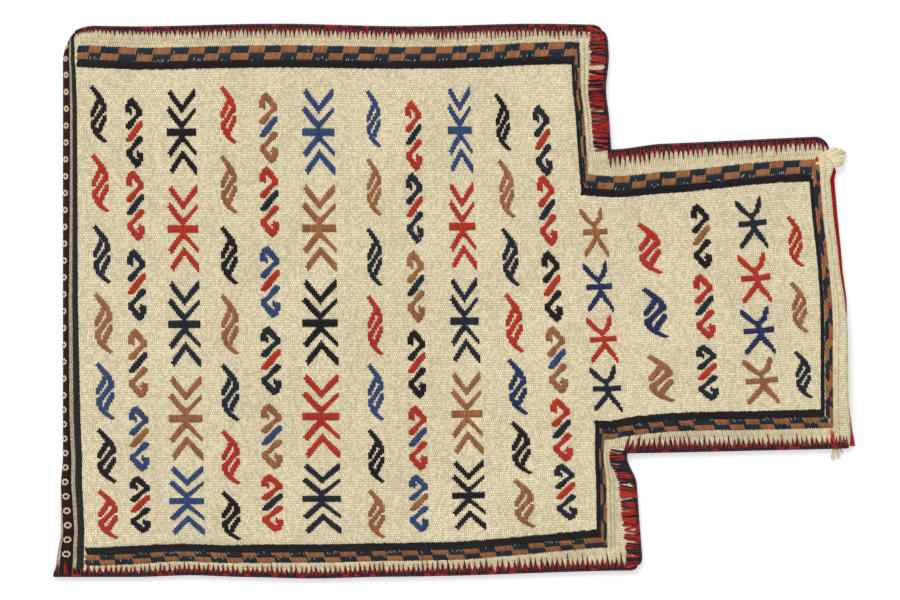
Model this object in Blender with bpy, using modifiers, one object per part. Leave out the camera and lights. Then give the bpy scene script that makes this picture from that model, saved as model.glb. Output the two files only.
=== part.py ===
"""Flat-woven wool salt bag, lying flat on its back.

One long cloth is folded at the foot of the bag and sewn up both sides, over the shoulders and along
the neck. Metres, +X towards the mouth, +Y across the bag, +Z up, the back panel on z = 0.
"""

import math

import bmesh
import bpy

# Driving dimensions, in metres
BODY_LENGTH = 0.3906
BODY_WIDTH = 0.3834
NECK_LENGTH = 0.1565
NECK_WIDTH = 0.2140
CLOTH_THICKNESS = 0.0020
BODY_OPENING = 0.0088
FOLD_OPENING = 0.0030
MOUTH_OPENING = 0.0070
CLEARANCE = 0.0003
BACK_PROUD = 0.0022

# How the woven rows lean and how the hand-woven outline wanders
FOOT_LEAN = 0.024
FOOT_LEAN_REACH = 0.014
SHOULDER_LEAN = 0.074
LEAN_STARTS = 0.250
LEAN_ENDS = 0.350
LOWER_SQUEEZE = 0.030
NECK_DRIFT = 0.0068
FOOT_CORNER_FLARE = 0.0060
FOOT_CORNER_REACH = 0.0260

# Overcast seams: how far the stitches reach over the cloth, and how thick the wool lies
STITCH_WALL = 0.0011
UPPER_STITCH = 0.0072
LOWER_STITCH = 0.0048
SHOULDER_STITCH = 0.0088
STITCH_TOOTH = 0.0016
STITCH_PITCH = 0.0220
STITCH_BEND = 0.3
SEAM_MARGIN = 0.0112
SEAM_RISE = 0.0145
FIRST_RISE = 0.55
FOLD_RISE = 0.048

# Relief of the wrapped wefts over the plain ground
FIGURE_RELIEF = 0.0011
BAND_RELIEF = 0.0008
RELIEF_ROOT = 0.0015

# Border, as insets from the side seam, the shoulder and the neck seam: upper half, then lower half
CHECK_OUTER = ((0.0140, 0.0170, 0.0190), (0.0086, 0.0170, 0.0098))
CHECK_INNER = ((0.0232, 0.0208, 0.0282), (0.0170, 0.0208, 0.0184))
LINE_INNER = ((0.0284, 0.0244, 0.0332), (0.0230, 0.0244, 0.0240))
# The same three lines beside the mouth, as insets from its hem
MOUTH_BORDER = (0.0052, 0.0100, 0.0138)
BORDER_OVERLAP = 0.0010
CHECK_PITCH = 0.0224
CHECK_SLANT = 0.0018
CHECK_LEAD = 0.0004
BORDER_STEP = 0.030
BORDER_START = 0.0110
CORD_WIDTH = 0.0026
CORD_PITCH = 0.0030

# Stripes along the fold, as distances from it
DARK_STRIPE = (0.0078, 0.0108)
FOLD_STEPS = 6
BACK_RED_HEM = 0.0040

# Frayed yarn ends: a fan at the upper mouth corner and a wisp below the lower neck seam
FAN_REACH = 0.0078
FAN_WIDTH = 0.0140
FAN_INSET = 0.0070
FAN_THICKNESS = 0.0030
FAN_LIFT = 0.0002
WISP_FROM_MOUTH = 0.0140
WISP_LENGTH = 0.0085
WISP_RADIUS = 0.0016
WISP_TIP_RADIUS = 0.0004
WISP_SIDES = 8
# The fan's outline, as shares of its reach and, from its lower end, of its width
FAN_OUTLINE = (
    (0.0, 0.0), (0.0, 1.0), (0.60, 1.03), (1.00, 0.82), (0.82, 0.72), (0.90, 0.60), (0.68, 0.50),
    (0.74, 0.36), (0.50, 0.26), (0.52, 0.12), (0.26, 0.04),
)

# Figures. A row gives its kind, its place as a share of the body or neck length, the figure's half
# width as woven, and its colours from the upper side seam down.
BODY_ROWS = (
    ("flag", 0.073, 0.0062, "KRNTBKR"),
    ("hook", 0.136, 0.0064, "KR RN NR TN BT KR"),
    ("tree", 0.223, 0.0108, "KRNTB"),
    ("flag", 0.300, 0.0057, "RTKTNRK"),
    ("hook", 0.372, 0.0066, "TB RN BR NR TB RN"),
    ("tree", 0.463, 0.0122, "BTKRN"),
    ("flag", 0.558, 0.0054, "BTNRBKT"),
    ("hook", 0.634, 0.0062, "RN NR TN KR RB BT"),
    ("tree", 0.723, 0.0094, "BRNTK"),
    ("flag", 0.805, 0.0062, "KTNRIKT"),
    ("hook", 0.877, 0.0068, "NR RN KR TB RN NR"),
)
NECK_ROWS = (
    ("star", -0.096, 0.0103, "TIRN"),
    ("flag", 0.145, 0.0086, "RIT"),
    ("hook", 0.369, 0.0074, "KT RN NR"),
    ("star", 0.601, 0.0118, "NRIT"),
    ("flag", 0.793, 0.0060, "RTN"),
)
# Centre and half height of each figure down a row, as shares of half the body or neck width
BODY_SPACING = {
    "flag": (
        (0.682, 0.103), (0.429, 0.104), (0.170, 0.104), (-0.082, 0.108),
        (-0.330, 0.102), (-0.566, 0.096), (-0.780, 0.086),
    ),
    "hook": (
        (0.617, 0.131), (0.350, 0.131), (0.060, 0.133), (-0.226, 0.128),
        (-0.500, 0.121), (-0.741, 0.106),
    ),
    "tree": ((0.621, 0.158), (0.268, 0.159), (-0.080, 0.158), (-0.424, 0.154), (-0.726, 0.128)),
}
NECK_SPACING = {
    "star": ((0.458, 0.170), (0.098, 0.170), (-0.252, 0.161), (-0.582, 0.157)),
    "flag": ((0.337, 0.173), (-0.089, 0.173), (-0.523, 0.157)),
    "hook": ((0.399, 0.216), (-0.062, 0.219), (-0.497, 0.186)),
}
LOWER_WIDENING = 0.13
# Further lines of points in the flat of the cloth, as shares of each stretch
BODY_LINES = (0.3, 0.6, 0.8)
NECK_LINES = (0.3, 0.65)
BACK_LINE = 0.6

# Outlines of the figures in a square of -1 to 1, across and along the bag's width. A flag's second
# half is its first turned end for end, and so is a hook's lower hook.
HALF_FLAG = (
    (-1.00, 0.90), (-0.72, 1.00), (0.96, 0.34), (0.90, 0.04), (-0.10, -0.38), (1.00, -0.12),
    (0.46, -0.54),
)
HOOK = (
    (-0.60, 0.50), (-0.98, 0.74), (-0.20, 1.00), (0.98, 0.60), (-0.70, 0.08), (-1.00, 0.19),
    (0.28, 0.58), (-0.16, 0.80), (-0.42, 0.69),
)
HOOK_BAR = ((-1.00, -0.18), (-0.74, -0.32), (1.00, 0.18), (0.74, 0.32))
CHEVRON = ((-0.90, 0.86), (-0.70, 1.00), (0.05, 0.64), (0.84, 0.99), (0.98, 0.85), (0.04, 0.46))
TREE_HEART = (
    (-0.86, 0.64), (0.02, 0.22), (0.92, 0.62), (1.00, 0.48), (0.22, 0.12), (0.98, 0.09),
    (0.99, -0.08), (0.23, -0.13), (0.94, -0.50), (0.82, -0.61), (0.03, -0.26), (-0.88, -0.62),
    (-1.00, -0.51), (-0.18, -0.11), (-0.98, -0.09), (-1.00, 0.08), (-0.19, 0.11), (-0.98, 0.50),
)
STAR = (
    (-1.00, 0.82), (-0.84, 0.98), (0.06, 0.32), (0.56, 1.00), (0.74, 0.90), (0.28, 0.16),
    (1.00, 0.12), (0.99, -0.13), (0.32, -0.17), (0.98, -0.84), (0.80, -0.97), (0.07, -0.34),
    (-0.76, -1.00), (-0.90, -0.85), (-0.20, -0.15), (-0.97, -0.11), (-0.96, 0.13), (-0.18, 0.14),
)

COLOURS = {
    "cream": (0.87, 0.81, 0.65),
    "K": (0.110, 0.100, 0.130),
    "R": (0.700, 0.190, 0.140),
    "N": (0.120, 0.150, 0.230),
    "B": (0.200, 0.290, 0.500),
    "I": (0.120, 0.160, 0.420),
    "T": (0.620, 0.400, 0.240),
    "stripe": (0.150, 0.160, 0.160),
    "yarn": (0.880, 0.840, 0.720),
}
ROUGHNESS = 0.95

HALF_BODY = BODY_WIDTH / 2
HALF_NECK = NECK_WIDTH / 2
LENGTH = BODY_LENGTH + NECK_LENGTH
EDGE_LIFT = STITCH_WALL + CLEARANCE
SEAM_TOP = EDGE_LIFT + 2 * CLOTH_THICKNESS + CLEARANCE


def smooth(low, high, value):
    """0 below low, 1 above high, and a smooth curve between."""
    share = min(max((value - low) / (high - low), 0.0), 1.0)
    return share * share * (3 - 2 * share)


def scene_collection(name):
    collection = bpy.data.collections.new(name)
    bpy.context.scene.collection.children.link(collection)
    return collection


def wool(name, colour):
    """A matt wool material; the colour is given as it looks on a screen."""
    material = bpy.data.materials.new(name)
    material.use_nodes = True
    linear = [((value + 0.055) / 1.055) ** 2.4 for value in colour]
    shader = material.node_tree.nodes["Principled BSDF"]
    shader.inputs["Base Color"].default_value = (*linear, 1.0)
    shader.inputs["Roughness"].default_value = ROUGHNESS
    shader.inputs["Metallic"].default_value = 0.0
    return material


def plan(along, across):
    """World x and y of a point of the cloth, by its distance from the fold and from the centre line."""
    lean = FOOT_LEAN * smooth(0.0, FOOT_LEAN_REACH, along)
    lean += (SHOULDER_LEAN - FOOT_LEAN) * smooth(LEAN_STARTS, LEAN_ENDS, along)
    squeeze = LOWER_SQUEEZE * smooth(BODY_LENGTH / 2, BODY_LENGTH, along)
    drift = NECK_DRIFT * max(along - BODY_LENGTH, 0.0) / NECK_LENGTH
    y = across + drift - (min(across, 0.0) * squeeze if along < BODY_LENGTH else 0.0)
    if along >= BODY_LENGTH:
        y -= min(across, 0.0) * squeeze * max(1 - (along - BODY_LENGTH) / NECK_LENGTH, 0.0)
    corner = max(1 - (HALF_BODY + across) / FOOT_CORNER_REACH, 0.0)
    flare = FOOT_CORNER_FLARE * corner**2 * max(1 - along / FOOT_CORNER_REACH, 0.0)
    return along - LENGTH / 2 - lean * across - flare, y


def ramp(low, high, value):
    """0 below low, 1 above high, and a straight line between."""
    return min(max((value - low) / (high - low), 0.0), 1.0)


def rise(inset):
    """How far the panels part at this distance from one sewn edge."""
    first = ramp(SEAM_MARGIN, SEAM_MARGIN + SEAM_RISE / 2, inset)
    second = ramp(SEAM_MARGIN + SEAM_RISE / 2, SEAM_MARGIN + SEAM_RISE, inset)
    return FIRST_RISE * first + (1 - FIRST_RISE) * second


def fullness(along, across):
    """How far the two panels have parted here, from 0 at a seam to 1 in the middle."""
    from_neck = rise(HALF_NECK - abs(across))
    if along >= BODY_LENGTH:
        return from_neck
    from_shoulder = rise(BODY_LENGTH - along)
    return rise(HALF_BODY - abs(across)) * (1 - (1 - from_shoulder) * (1 - from_neck))


def back_inner(along, across):
    """Height of the back panel's inner face."""
    return CLOTH_THICKNESS + EDGE_LIFT * (1 - fullness(along, across))


def front_inner(along, across):
    """Height of the front panel's inner face."""
    middle = FOLD_OPENING + (BODY_OPENING - FOLD_OPENING) * ramp(0.0, FOLD_RISE, along)
    middle += (MOUTH_OPENING - BODY_OPENING) * ramp(BODY_LENGTH, LENGTH, along)
    opening = CLEARANCE + (middle - CLEARANCE) * fullness(along, across)
    return back_inner(along, across) + opening


def front_outer(along, across):
    return front_inner(along, across) + CLOTH_THICKNESS


def across_stations():
    """Lines along the bag's length: closer where the panels rise from a seam."""
    steps = (0.0, SEAM_MARGIN, SEAM_MARGIN + SEAM_RISE / 2, SEAM_MARGIN + SEAM_RISE)
    half = [HALF_BODY - step for step in steps] + [HALF_NECK - step for step in steps]
    half = sorted(half, reverse=True)
    return half + [0.0] + [-value for value in reversed(half)]


def near_shoulder():
    flat_ends = BODY_LENGTH - SEAM_MARGIN - SEAM_RISE
    return [flat_ends, flat_ends + SEAM_RISE / 2, flat_ends + SEAM_RISE, BODY_LENGTH]


def front_stations():
    """Lines across the front panel from the fold to the mouth."""
    near_fold = [DARK_STRIPE[0], DARK_STRIPE[1], FOLD_RISE / 2, FOLD_RISE]
    shoulder = near_shoulder()
    span = shoulder[0] - FOLD_RISE
    middle = [FOLD_RISE + span * share for share in BODY_LINES]
    neck = [BODY_LENGTH + NECK_LENGTH * share for share in NECK_LINES]
    return near_fold + middle + shoulder + neck + [LENGTH]


def back_stations():
    """Lines across the back panel, whose last strip is its red hem."""
    shoulder = near_shoulder()
    red_hem = [LENGTH + BACK_PROUD - BACK_RED_HEM, LENGTH + BACK_PROUD]
    return [DARK_STRIPE[0], FOLD_RISE, shoulder[0] * BACK_LINE] + shoulder + red_hem


def folded_line(across):
    """Points of the inner face at one line along the bag: back panel, fold, front panel."""
    last = LENGTH + BACK_PROUD if abs(across) <= HALF_NECK else BODY_LENGTH
    back = [s for s in back_stations() if s <= last]
    front = [s for s in front_stations() if s <= last]
    points = [(*plan(s, across), back_inner(s, across)) for s in reversed(back)]
    low, high = back_inner(0.0, across), front_inner(0.0, across)
    radius = (high - low) / 2
    for step in range(FOLD_STEPS + 1):
        angle = math.pi * step / FOLD_STEPS
        along = CLOTH_THICKNESS + radius * (1 - math.sin(angle))
        points.append((*plan(along, across), low + radius * (1 - math.cos(angle))))
    return points + [(*plan(s, across), front_inner(s, across)) for s in front]


def cloth_sheet(collection, slots):
    """The folded cloth: an open surface on its inner faces, made solid outwards."""
    bm = bmesh.new()
    missing_back = sum(1 for s in back_stations() if s > BODY_LENGTH)
    missing_front = sum(1 for s in front_stations() if s > BODY_LENGTH)
    stripe = len(back_stations()) + FOLD_STEPS + 1
    lines = []
    for across in across_stations():
        verts = [bm.verts.new(point) for point in folded_line(across)]
        if abs(across) > HALF_NECK:
            verts = [None] * missing_back + verts + [None] * missing_front
        lines.append(verts)
    for first, second in zip(lines, lines[1:]):
        for index in range(len(first) - 1):
            corners = [first[index], second[index], second[index + 1], first[index + 1]]
            if None in corners:
                continue
            face = bm.faces.new(corners)
            if index == 0:
                face.material_index = slots.index("R")
            elif index == stripe:
                face.material_index = slots.index("stripe")
    mesh = bpy.data.meshes.new("woven_cloth")
    bm.to_mesh(mesh)
    bm.free()
    cloth = bpy.data.objects.new("woven_cloth", mesh)
    collection.objects.link(cloth)
    solidify = cloth.modifiers.new("cloth_thickness", "SOLIDIFY")
    solidify.thickness = CLOTH_THICKNESS
    solidify.offset = 1.0
    solidify.use_even_offset = True
    return cloth


def filled_outlines(name, outlines, collection):
    """Flat pieces cut from 2D curves, one curve object for these outlines, as a mesh."""
    curve = bpy.data.curves.new(name, "CURVE")
    curve.dimensions = "2D"
    curve.fill_mode = "BOTH"
    curve.extrude = RELIEF_ROOT
    for ring in outlines:
        spline = curve.splines.new("POLY")
        spline.points.add(len(ring) - 1)
        for point, (along, across) in zip(spline.points, ring):
            point.co = (along, across, 0.0, 1.0)
        spline.use_cyclic_u = True
    flat = bpy.data.objects.new(name, curve)
    collection.objects.link(flat)
    bpy.context.view_layer.update()
    graph = bpy.context.evaluated_depsgraph_get()
    mesh = bpy.data.meshes.new_from_object(flat.evaluated_get(graph))
    bpy.data.objects.remove(flat)
    bpy.data.curves.remove(curve)
    return mesh


def add_strip(bm, outer, inner, material_index):
    """A strip between two lines that follow the outline, as a slab as deep as the flat pieces."""
    rings = []
    for far, near in zip(outer, inner):
        edges = ((far, RELIEF_ROOT), (near, RELIEF_ROOT), (near, -RELIEF_ROOT), (far, -RELIEF_ROOT))
        rings.append([bm.verts.new((*point, side)) for point, side in edges])
    faces = [bm.faces.new(rings[0]), bm.faces.new(rings[-1])]
    for first, second in zip(rings, rings[1:]):
        for index in range(4):
            after = (index + 1) % 4
            faces.append(bm.faces.new((first[index], first[after], second[after], second[index])))
    for face in faces:
        face.material_index = material_index


def draped_relief(name, outlines, strip, relief, slots, collection):
    """Flat outlines and one border strip, laid on the front panel and rooted in it."""
    bm = bmesh.new()
    for colour in sorted({colour for colour, _ in outlines}):
        rings = [ring for key, ring in outlines if key == colour]
        mesh = filled_outlines(name, rings, collection)
        for polygon in mesh.polygons:
            polygon.material_index = slots.index(colour)
        bm.from_mesh(mesh)
        bpy.data.meshes.remove(mesh)
    bmesh.ops.remove_doubles(bm, verts=bm.verts, dist=1e-6)
    colour, outer, inner = strip
    add_strip(bm, outer, inner, slots.index(colour))
    for vert in bm.verts:
        along, across, side = vert.co
        height = front_outer(along, across) + (relief if side > 0 else -RELIEF_ROOT)
        vert.co = (*plan(along, across), height)
    bmesh.ops.recalc_face_normals(bm, faces=bm.faces)
    mesh = bpy.data.meshes.new(name)
    bm.to_mesh(mesh)
    bm.free()
    added = bpy.data.objects.new(name, mesh)
    added.hide_render = True
    added.display_type = "WIRE"
    collection.objects.link(added)
    return added


def join_relief(cloth, relief):
    union = cloth.modifiers.new(relief.name, "BOOLEAN")
    union.operation = "UNION"
    union.solver = "MANIFOLD"
    union.object = relief


def figure_shapes(kind, colours):
    """Pairs of colour and outline that make one figure."""
    if kind == "flag":
        return [(colours, HALF_FLAG + tuple((-x, -y) for x, y in HALF_FLAG))]
    if kind == "star":
        return [(colours, STAR)]
    if kind == "hook":
        lower = tuple((-x, -y) for x, y in HOOK)
        return [(colours[0], HOOK), (colours[1], HOOK_BAR), (colours[0], lower)]
    lower = tuple((x, -y) for x, y in CHEVRON)
    return [(colours, CHEVRON), (colours, TREE_HEART), (colours, lower)]


def row_figures(kind, centre, half_width, colours, spacing, half_span):
    """All figures of one row across the bag."""
    outlines = []
    colours = colours.split() if kind == "hook" else colours
    for colour, (place, half_share) in zip(colours, spacing[kind]):
        width = half_width * (1 - LOWER_WIDENING * place)
        middle, half_height = place * half_span, half_share * half_span
        for key, shape in figure_shapes(kind, colour):
            ring = [(centre + x * width, middle + y * half_height) for x, y in shape]
            outlines.append((key, ring))
    return outlines


def all_figures():
    outlines = []
    for kind, place, half_width, colours in BODY_ROWS:
        centre = place * BODY_LENGTH
        outlines += row_figures(kind, centre, half_width, colours, BODY_SPACING, HALF_BODY)
    for kind, place, half_width, colours in NECK_ROWS:
        centre = BODY_LENGTH + place * NECK_LENGTH
        outlines += row_figures(kind, centre, half_width, colours, NECK_SPACING, HALF_NECK)
    return outlines


def border_corners(insets, mouth):
    """Corners of a line that follows the outline at these insets, from fold to fold."""
    halves = []
    for (side, shoulder, neck), sign in zip(insets, (1, -1)):
        halves.append([
            (BORDER_START, sign * (HALF_BODY - side)),
            (BODY_LENGTH - shoulder, sign * (HALF_BODY - side)),
            (BODY_LENGTH - shoulder, sign * (HALF_NECK - neck)),
            (LENGTH - mouth, sign * (HALF_NECK - neck)),
        ])
    return halves[0] + halves[1][::-1]


def border_line(insets, mouth):
    """The same line with points close enough to follow the cloth, as many whatever the insets."""
    corners = border_corners(insets, mouth)
    half = [round(span / BORDER_STEP) for span in (BODY_LENGTH, HALF_BODY - HALF_NECK, NECK_LENGTH)]
    counts = half + [round(NECK_WIDTH / BORDER_STEP)] + half[::-1]
    points = []
    for (a, b), (c, d), steps in zip(corners, corners[1:], counts):
        points += [(a + (c - a) * i / steps, b + (d - b) * i / steps) for i in range(steps)]
    return points + [corners[-1]]


def checker_band():
    """The brown band, which runs a little way under the black line."""
    tucked = [[inset + BORDER_OVERLAP for inset in half] for half in CHECK_INNER]
    inner = border_line(tucked, MOUTH_BORDER[1] + BORDER_OVERLAP)
    return ("T", border_line(CHECK_OUTER, MOUTH_BORDER[0]), inner)


def black_line():
    outer = border_line(CHECK_INNER, MOUTH_BORDER[1])
    return ("K", outer, border_line(LINE_INNER, MOUTH_BORDER[2]))


def shoulder_cords():
    """Two twined cords beside each shoulder's overcasting."""
    outlines = []
    for sign, insets in ((1, CHECK_OUTER[0]), (-1, CHECK_OUTER[1])):
        for cord in range(2):
            near = BODY_LENGTH - SHOULDER_STITCH - STITCH_TOOTH - CLEARANCE - cord * CORD_PITCH
            far = near - CORD_WIDTH
            low, high = sign * HALF_NECK, sign * (HALF_BODY - insets[0])
            outlines.append(("cream", [(near, low), (near, high), (far, high), (far, low)]))
    return outlines


def block_row(start, end, outer, inner, shift, turned=False):
    """Dark blocks with leaning short sides. A turned row runs across the bag and not along it."""
    count = max(int((end - start) / CHECK_PITCH), 1)
    pitch = (end - start - 2 * CHECK_LEAD - CHECK_SLANT) / count
    blocks = []
    for block in range(count):
        left = start + CHECK_LEAD + CHECK_SLANT + (block + shift) * pitch
        right = left + pitch / 2 - 2 * CHECK_LEAD
        ring = [(left, outer), (right, outer)]
        ring += [(right - CHECK_SLANT, inner), (left - CHECK_SLANT, inner)]
        blocks.append(("N", [(b, a) for a, b in ring] if turned else ring))
    return blocks


def check_blocks():
    """Dark blocks of the checker border: two rows along each seam, one by the shoulder and mouth."""
    blocks = []
    for sign, outer, inner in zip((1, -1), CHECK_OUTER, CHECK_INNER):
        shoulder, mouth = BODY_LENGTH - outer[1], LENGTH - MOUTH_BORDER[1]
        runs = (
            (BORDER_START, BODY_LENGTH - inner[1], HALF_BODY - outer[0], HALF_BODY - inner[0]),
            (shoulder, mouth, HALF_NECK - outer[2], HALF_NECK - inner[2]),
        )
        for start, end, far, near in runs:
            middle = (far + near) / 2
            blocks += block_row(start, end, sign * (far - CHECK_LEAD), sign * (middle + CHECK_LEAD), 0)
            blocks += block_row(start, end, sign * (middle - CHECK_LEAD), sign * (near + CHECK_LEAD), 0.5)
        low, high = sorted((sign * (HALF_NECK - inner[2]), sign * (HALF_BODY - inner[0])))
        far, near = BODY_LENGTH - outer[1] - CHECK_LEAD, BODY_LENGTH - inner[1] + CHECK_LEAD
        blocks += block_row(low, high, far, near, 0, turned=True)
    low, high = CHECK_INNER[1][2] - HALF_NECK, HALF_NECK - CHECK_INNER[0][2]
    far, near = LENGTH - MOUTH_BORDER[0] - CHECK_LEAD, LENGTH - MOUTH_BORDER[1] + CHECK_LEAD
    return blocks + block_row(low, high, far, near, 0, turned=True)


def overcast(name, start, end, edge, reach, turned, side, material, collection):
    """Wool sewn over a seam: a C section round both panels, its lips ending in uneven teeth.

    It runs from start to end along the seam, whose line lies at edge. A side or neck seam runs along
    the bag; a turned one runs over a shoulder. side is 1 for the upper half and -1 for the lower.
    """
    outside, outermost = -CLEARANCE, -CLEARANCE - STITCH_WALL
    top, crown = SEAM_TOP + CLEARANCE, SEAM_TOP + CLEARANCE + STITCH_WALL
    count = max(2 * round((end - start) / STITCH_PITCH), 2)
    bm = bmesh.new()
    rings = []
    for step in range(count + 1):
        place = start + (end - start) * step / count
        lip = reach + (STITCH_TOOTH if step % 2 else 0.0)
        section = (
            (lip, top), (outside, top), (outside, STITCH_WALL), (lip, STITCH_WALL), (lip, 0.0),
            (0.0, 0.0), (outermost, crown * STITCH_BEND), (outermost, crown * (1 - STITCH_BEND)),
            (0.0, crown), (lip, crown),
        )
        ring = []
        for inward, height in section:
            along, across = (edge - inward, place) if turned else (place, edge - inward)
            ring.append(bm.verts.new((*plan(along, side * across), height)))
        rings.append(ring)
    for first, second in zip(rings, rings[1:]):
        for index in range(len(first)):
            after = (index + 1) % len(first)
            bm.faces.new((first[index], first[after], second[after], second[index]))
    bm.faces.new(rings[0])
    bm.faces.new(rings[-1])
    bmesh.ops.recalc_face_normals(bm, faces=bm.faces)
    mesh = bpy.data.meshes.new(name)
    bm.to_mesh(mesh)
    bm.free()
    mesh.materials.append(material)
    obj = bpy.data.objects.new(name, mesh)
    collection.objects.link(obj)
    return obj


def all_overcasting(materials, collection):
    neck_start = BODY_LENGTH + STITCH_WALL + 2 * CLEARANCE
    corner = BODY_LENGTH + CLEARANCE + STITCH_WALL
    for word, side, reach in (("upper", 1, UPPER_STITCH), ("lower", -1, LOWER_STITCH)):
        shoulder_end = HALF_BODY - reach - STITCH_TOOTH - CLEARANCE
        overcast(f"{word}_side_overcast", 0.0, corner, HALF_BODY, reach, False, side,
                 materials["R"], collection)
        overcast(f"{word}_shoulder_overcast", HALF_NECK, shoulder_end, BODY_LENGTH, SHOULDER_STITCH,
                 True, side, materials["R"], collection)
        overcast(f"{word}_neck_overcast", neck_start, LENGTH, HALF_NECK, reach, False, side,
                 materials["N"], collection)


def yarn_fan(name, material, collection):
    """A flat fan of frayed yarn against the back panel's edge at the upper mouth corner."""
    base = LENGTH + BACK_PROUD + CLEARANCE
    lower_end = HALF_NECK - FAN_INSET - FAN_WIDTH
    curve = bpy.data.curves.new(name, "CURVE")
    curve.dimensions = "2D"
    curve.fill_mode = "BOTH"
    curve.extrude = FAN_THICKNESS / 2
    spline = curve.splines.new("POLY")
    spline.points.add(len(FAN_OUTLINE) - 1)
    for point, (reach, width) in zip(spline.points, FAN_OUTLINE):
        x, y = plan(base + reach * FAN_REACH, lower_end + width * FAN_WIDTH)
        point.co = (x, y, 0.0, 1.0)
    spline.use_cyclic_u = True
    curve.materials.append(material)
    fan = bpy.data.objects.new(name, curve)
    fan.location.z = EDGE_LIFT + FAN_LIFT + FAN_THICKNESS / 2
    collection.objects.link(fan)


def yarn_wisp(name, material, collection):
    """A tapering wisp that points away from the lower neck seam."""
    seam_face = HALF_NECK + CLEARANCE + STITCH_WALL
    middle = seam_face + CLEARANCE + WISP_LENGTH / 2
    bm = bmesh.new()
    bmesh.ops.create_cone(
        bm, cap_ends=True, segments=WISP_SIDES, radius1=WISP_RADIUS, radius2=WISP_TIP_RADIUS,
        depth=WISP_LENGTH,
    )
    mesh = bpy.data.meshes.new(name)
    bm.to_mesh(mesh)
    bm.free()
    mesh.materials.append(material)
    wisp = bpy.data.objects.new(name, mesh)
    height = (SEAM_TOP + CLEARANCE + STITCH_WALL) / 2
    wisp.location = (*plan(LENGTH - WISP_FROM_MOUTH, -middle), height)
    wisp.rotation_euler.x = math.pi / 2
    collection.objects.link(wisp)


def main():
    for obj in list(bpy.data.objects):
        bpy.data.objects.remove(obj)
    parts = scene_collection("woven_salt_bag")
    helpers = scene_collection("relief_helpers")
    helpers.hide_render = True
    materials = {key: wool(f"wool_{key}", colour) for key, colour in COLOURS.items()}
    slots = list(COLOURS)

    cloth = cloth_sheet(parts, slots)
    cords, marks = shoulder_cords(), check_blocks() + all_figures()
    band_relief = draped_relief("bands", cords, checker_band(), BAND_RELIEF, slots, helpers)
    mark_relief = draped_relief("figures", marks, black_line(), FIGURE_RELIEF, slots, helpers)
    for obj in (cloth, band_relief, mark_relief):
        for key in slots:
            obj.data.materials.append(materials[key])
    join_relief(cloth, band_relief)
    join_relief(cloth, mark_relief)

    all_overcasting(materials, parts)
    yarn_fan("upper_mouth_tuft", materials["yarn"], parts)
    yarn_wisp("lower_mouth_tuft", materials["yarn"], parts)


main()
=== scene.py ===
"""Looks of the flat-woven wool salt bag: a ribbed ground cloth, wrapped figures laid stitch by
stitch, overcast seams, stripes at the fold, and frayed yarn at the mouth. Metres throughout."""

import math
import random

import bpy
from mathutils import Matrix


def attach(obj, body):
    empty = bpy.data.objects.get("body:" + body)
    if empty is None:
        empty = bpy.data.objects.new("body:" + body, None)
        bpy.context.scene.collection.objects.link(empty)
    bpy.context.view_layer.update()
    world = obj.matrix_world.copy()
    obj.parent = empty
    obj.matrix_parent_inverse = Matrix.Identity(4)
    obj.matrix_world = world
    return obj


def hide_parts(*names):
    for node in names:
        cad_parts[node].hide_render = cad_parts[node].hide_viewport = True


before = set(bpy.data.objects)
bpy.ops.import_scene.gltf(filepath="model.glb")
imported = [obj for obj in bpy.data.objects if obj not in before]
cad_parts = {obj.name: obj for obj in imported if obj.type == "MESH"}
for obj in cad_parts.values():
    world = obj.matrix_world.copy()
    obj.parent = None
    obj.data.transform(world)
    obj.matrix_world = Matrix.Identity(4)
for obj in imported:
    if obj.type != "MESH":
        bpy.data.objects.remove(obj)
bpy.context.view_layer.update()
RANDOM = random.Random(41)

# The cloth, as the solids have it
BODY_LENGTH = 0.3906
BODY_WIDTH = 0.3834
NECK_LENGTH = 0.1565
NECK_WIDTH = 0.214
CLOTH = 0.002
BODY_OPENING = 0.0088
FOLD_OPENING = 0.003
MOUTH_OPENING = 0.007
CLEARANCE = 0.0003
FOOT_LEAN = 0.024
FOOT_LEAN_REACH = 0.014
SHOULDER_LEAN = 0.074
LEAN_STARTS = 0.25
LEAN_ENDS = 0.35
LOWER_SQUEEZE = 0.03
NECK_DRIFT = 0.0068
FOOT_CORNER_FLARE = 0.006
FOOT_CORNER_REACH = 0.026
SEAM_MARGIN = 0.0112
SEAM_RISE = 0.0145
FOLD_RISE = 0.048
STITCH_WALL = 0.0011

HALF_BODY = BODY_WIDTH / 2
HALF_NECK = NECK_WIDTH / 2
LENGTH = BODY_LENGTH + NECK_LENGTH
EDGE_LIFT = STITCH_WALL + CLEARANCE
SEAM_TOP = EDGE_LIFT + 2 * CLOTH + CLEARANCE

# The weave
RIB_RELIEF = 0.00018
NECK_HALF_RIBS = 127
BODY_HALF_RIBS = 101
BEAD_PITCH = 0.00132
STITCH_PITCH = 0.0014
STITCH_WIDTH = 0.00074
STITCH_HEIGHT = 0.0005
TIP_LIFT = 0.00005
CROSS_PITCH = 0.0036
CROSS_STRAND = 0.0013
STROKE_PITCH = 0.00155
CORD_PITCH = 0.0018
STRAND_SPAN = 0.0038
RING_BEADS = 8
FAN_YARNS = 12
WISP_YARNS = 7
BILLOW = 0.0005

# Rounded corners: where along the bag, which side, and the reach along and across
CORNERS = (
    (0.0, 1, 0.028, 0.024),
    (BODY_LENGTH, 1, 0.0075, 0.0085),
    (BODY_LENGTH, -1, 0.007, 0.008),
    (LENGTH, 1, 0.012, 0.018),
)

# Stripes at the fold, as path distances over it: in the middle, and near the lower corner
STRIPES = (
    ("pink", -0.0044, 0.0021),
    ("K", -0.0014, 0.0041),
    ("maroon", -0.0002, 0.0051),
    ("K", 0.005, 0.0079),
    ("pink", 0.0064, 0.0097),
    ("stripe", 0.0088, 0.0113),
    ("cream", 0.0128, 0.0147),
)
STRIPES_TURN = (-0.07, -0.18)
PATH_END = 0.02

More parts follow.
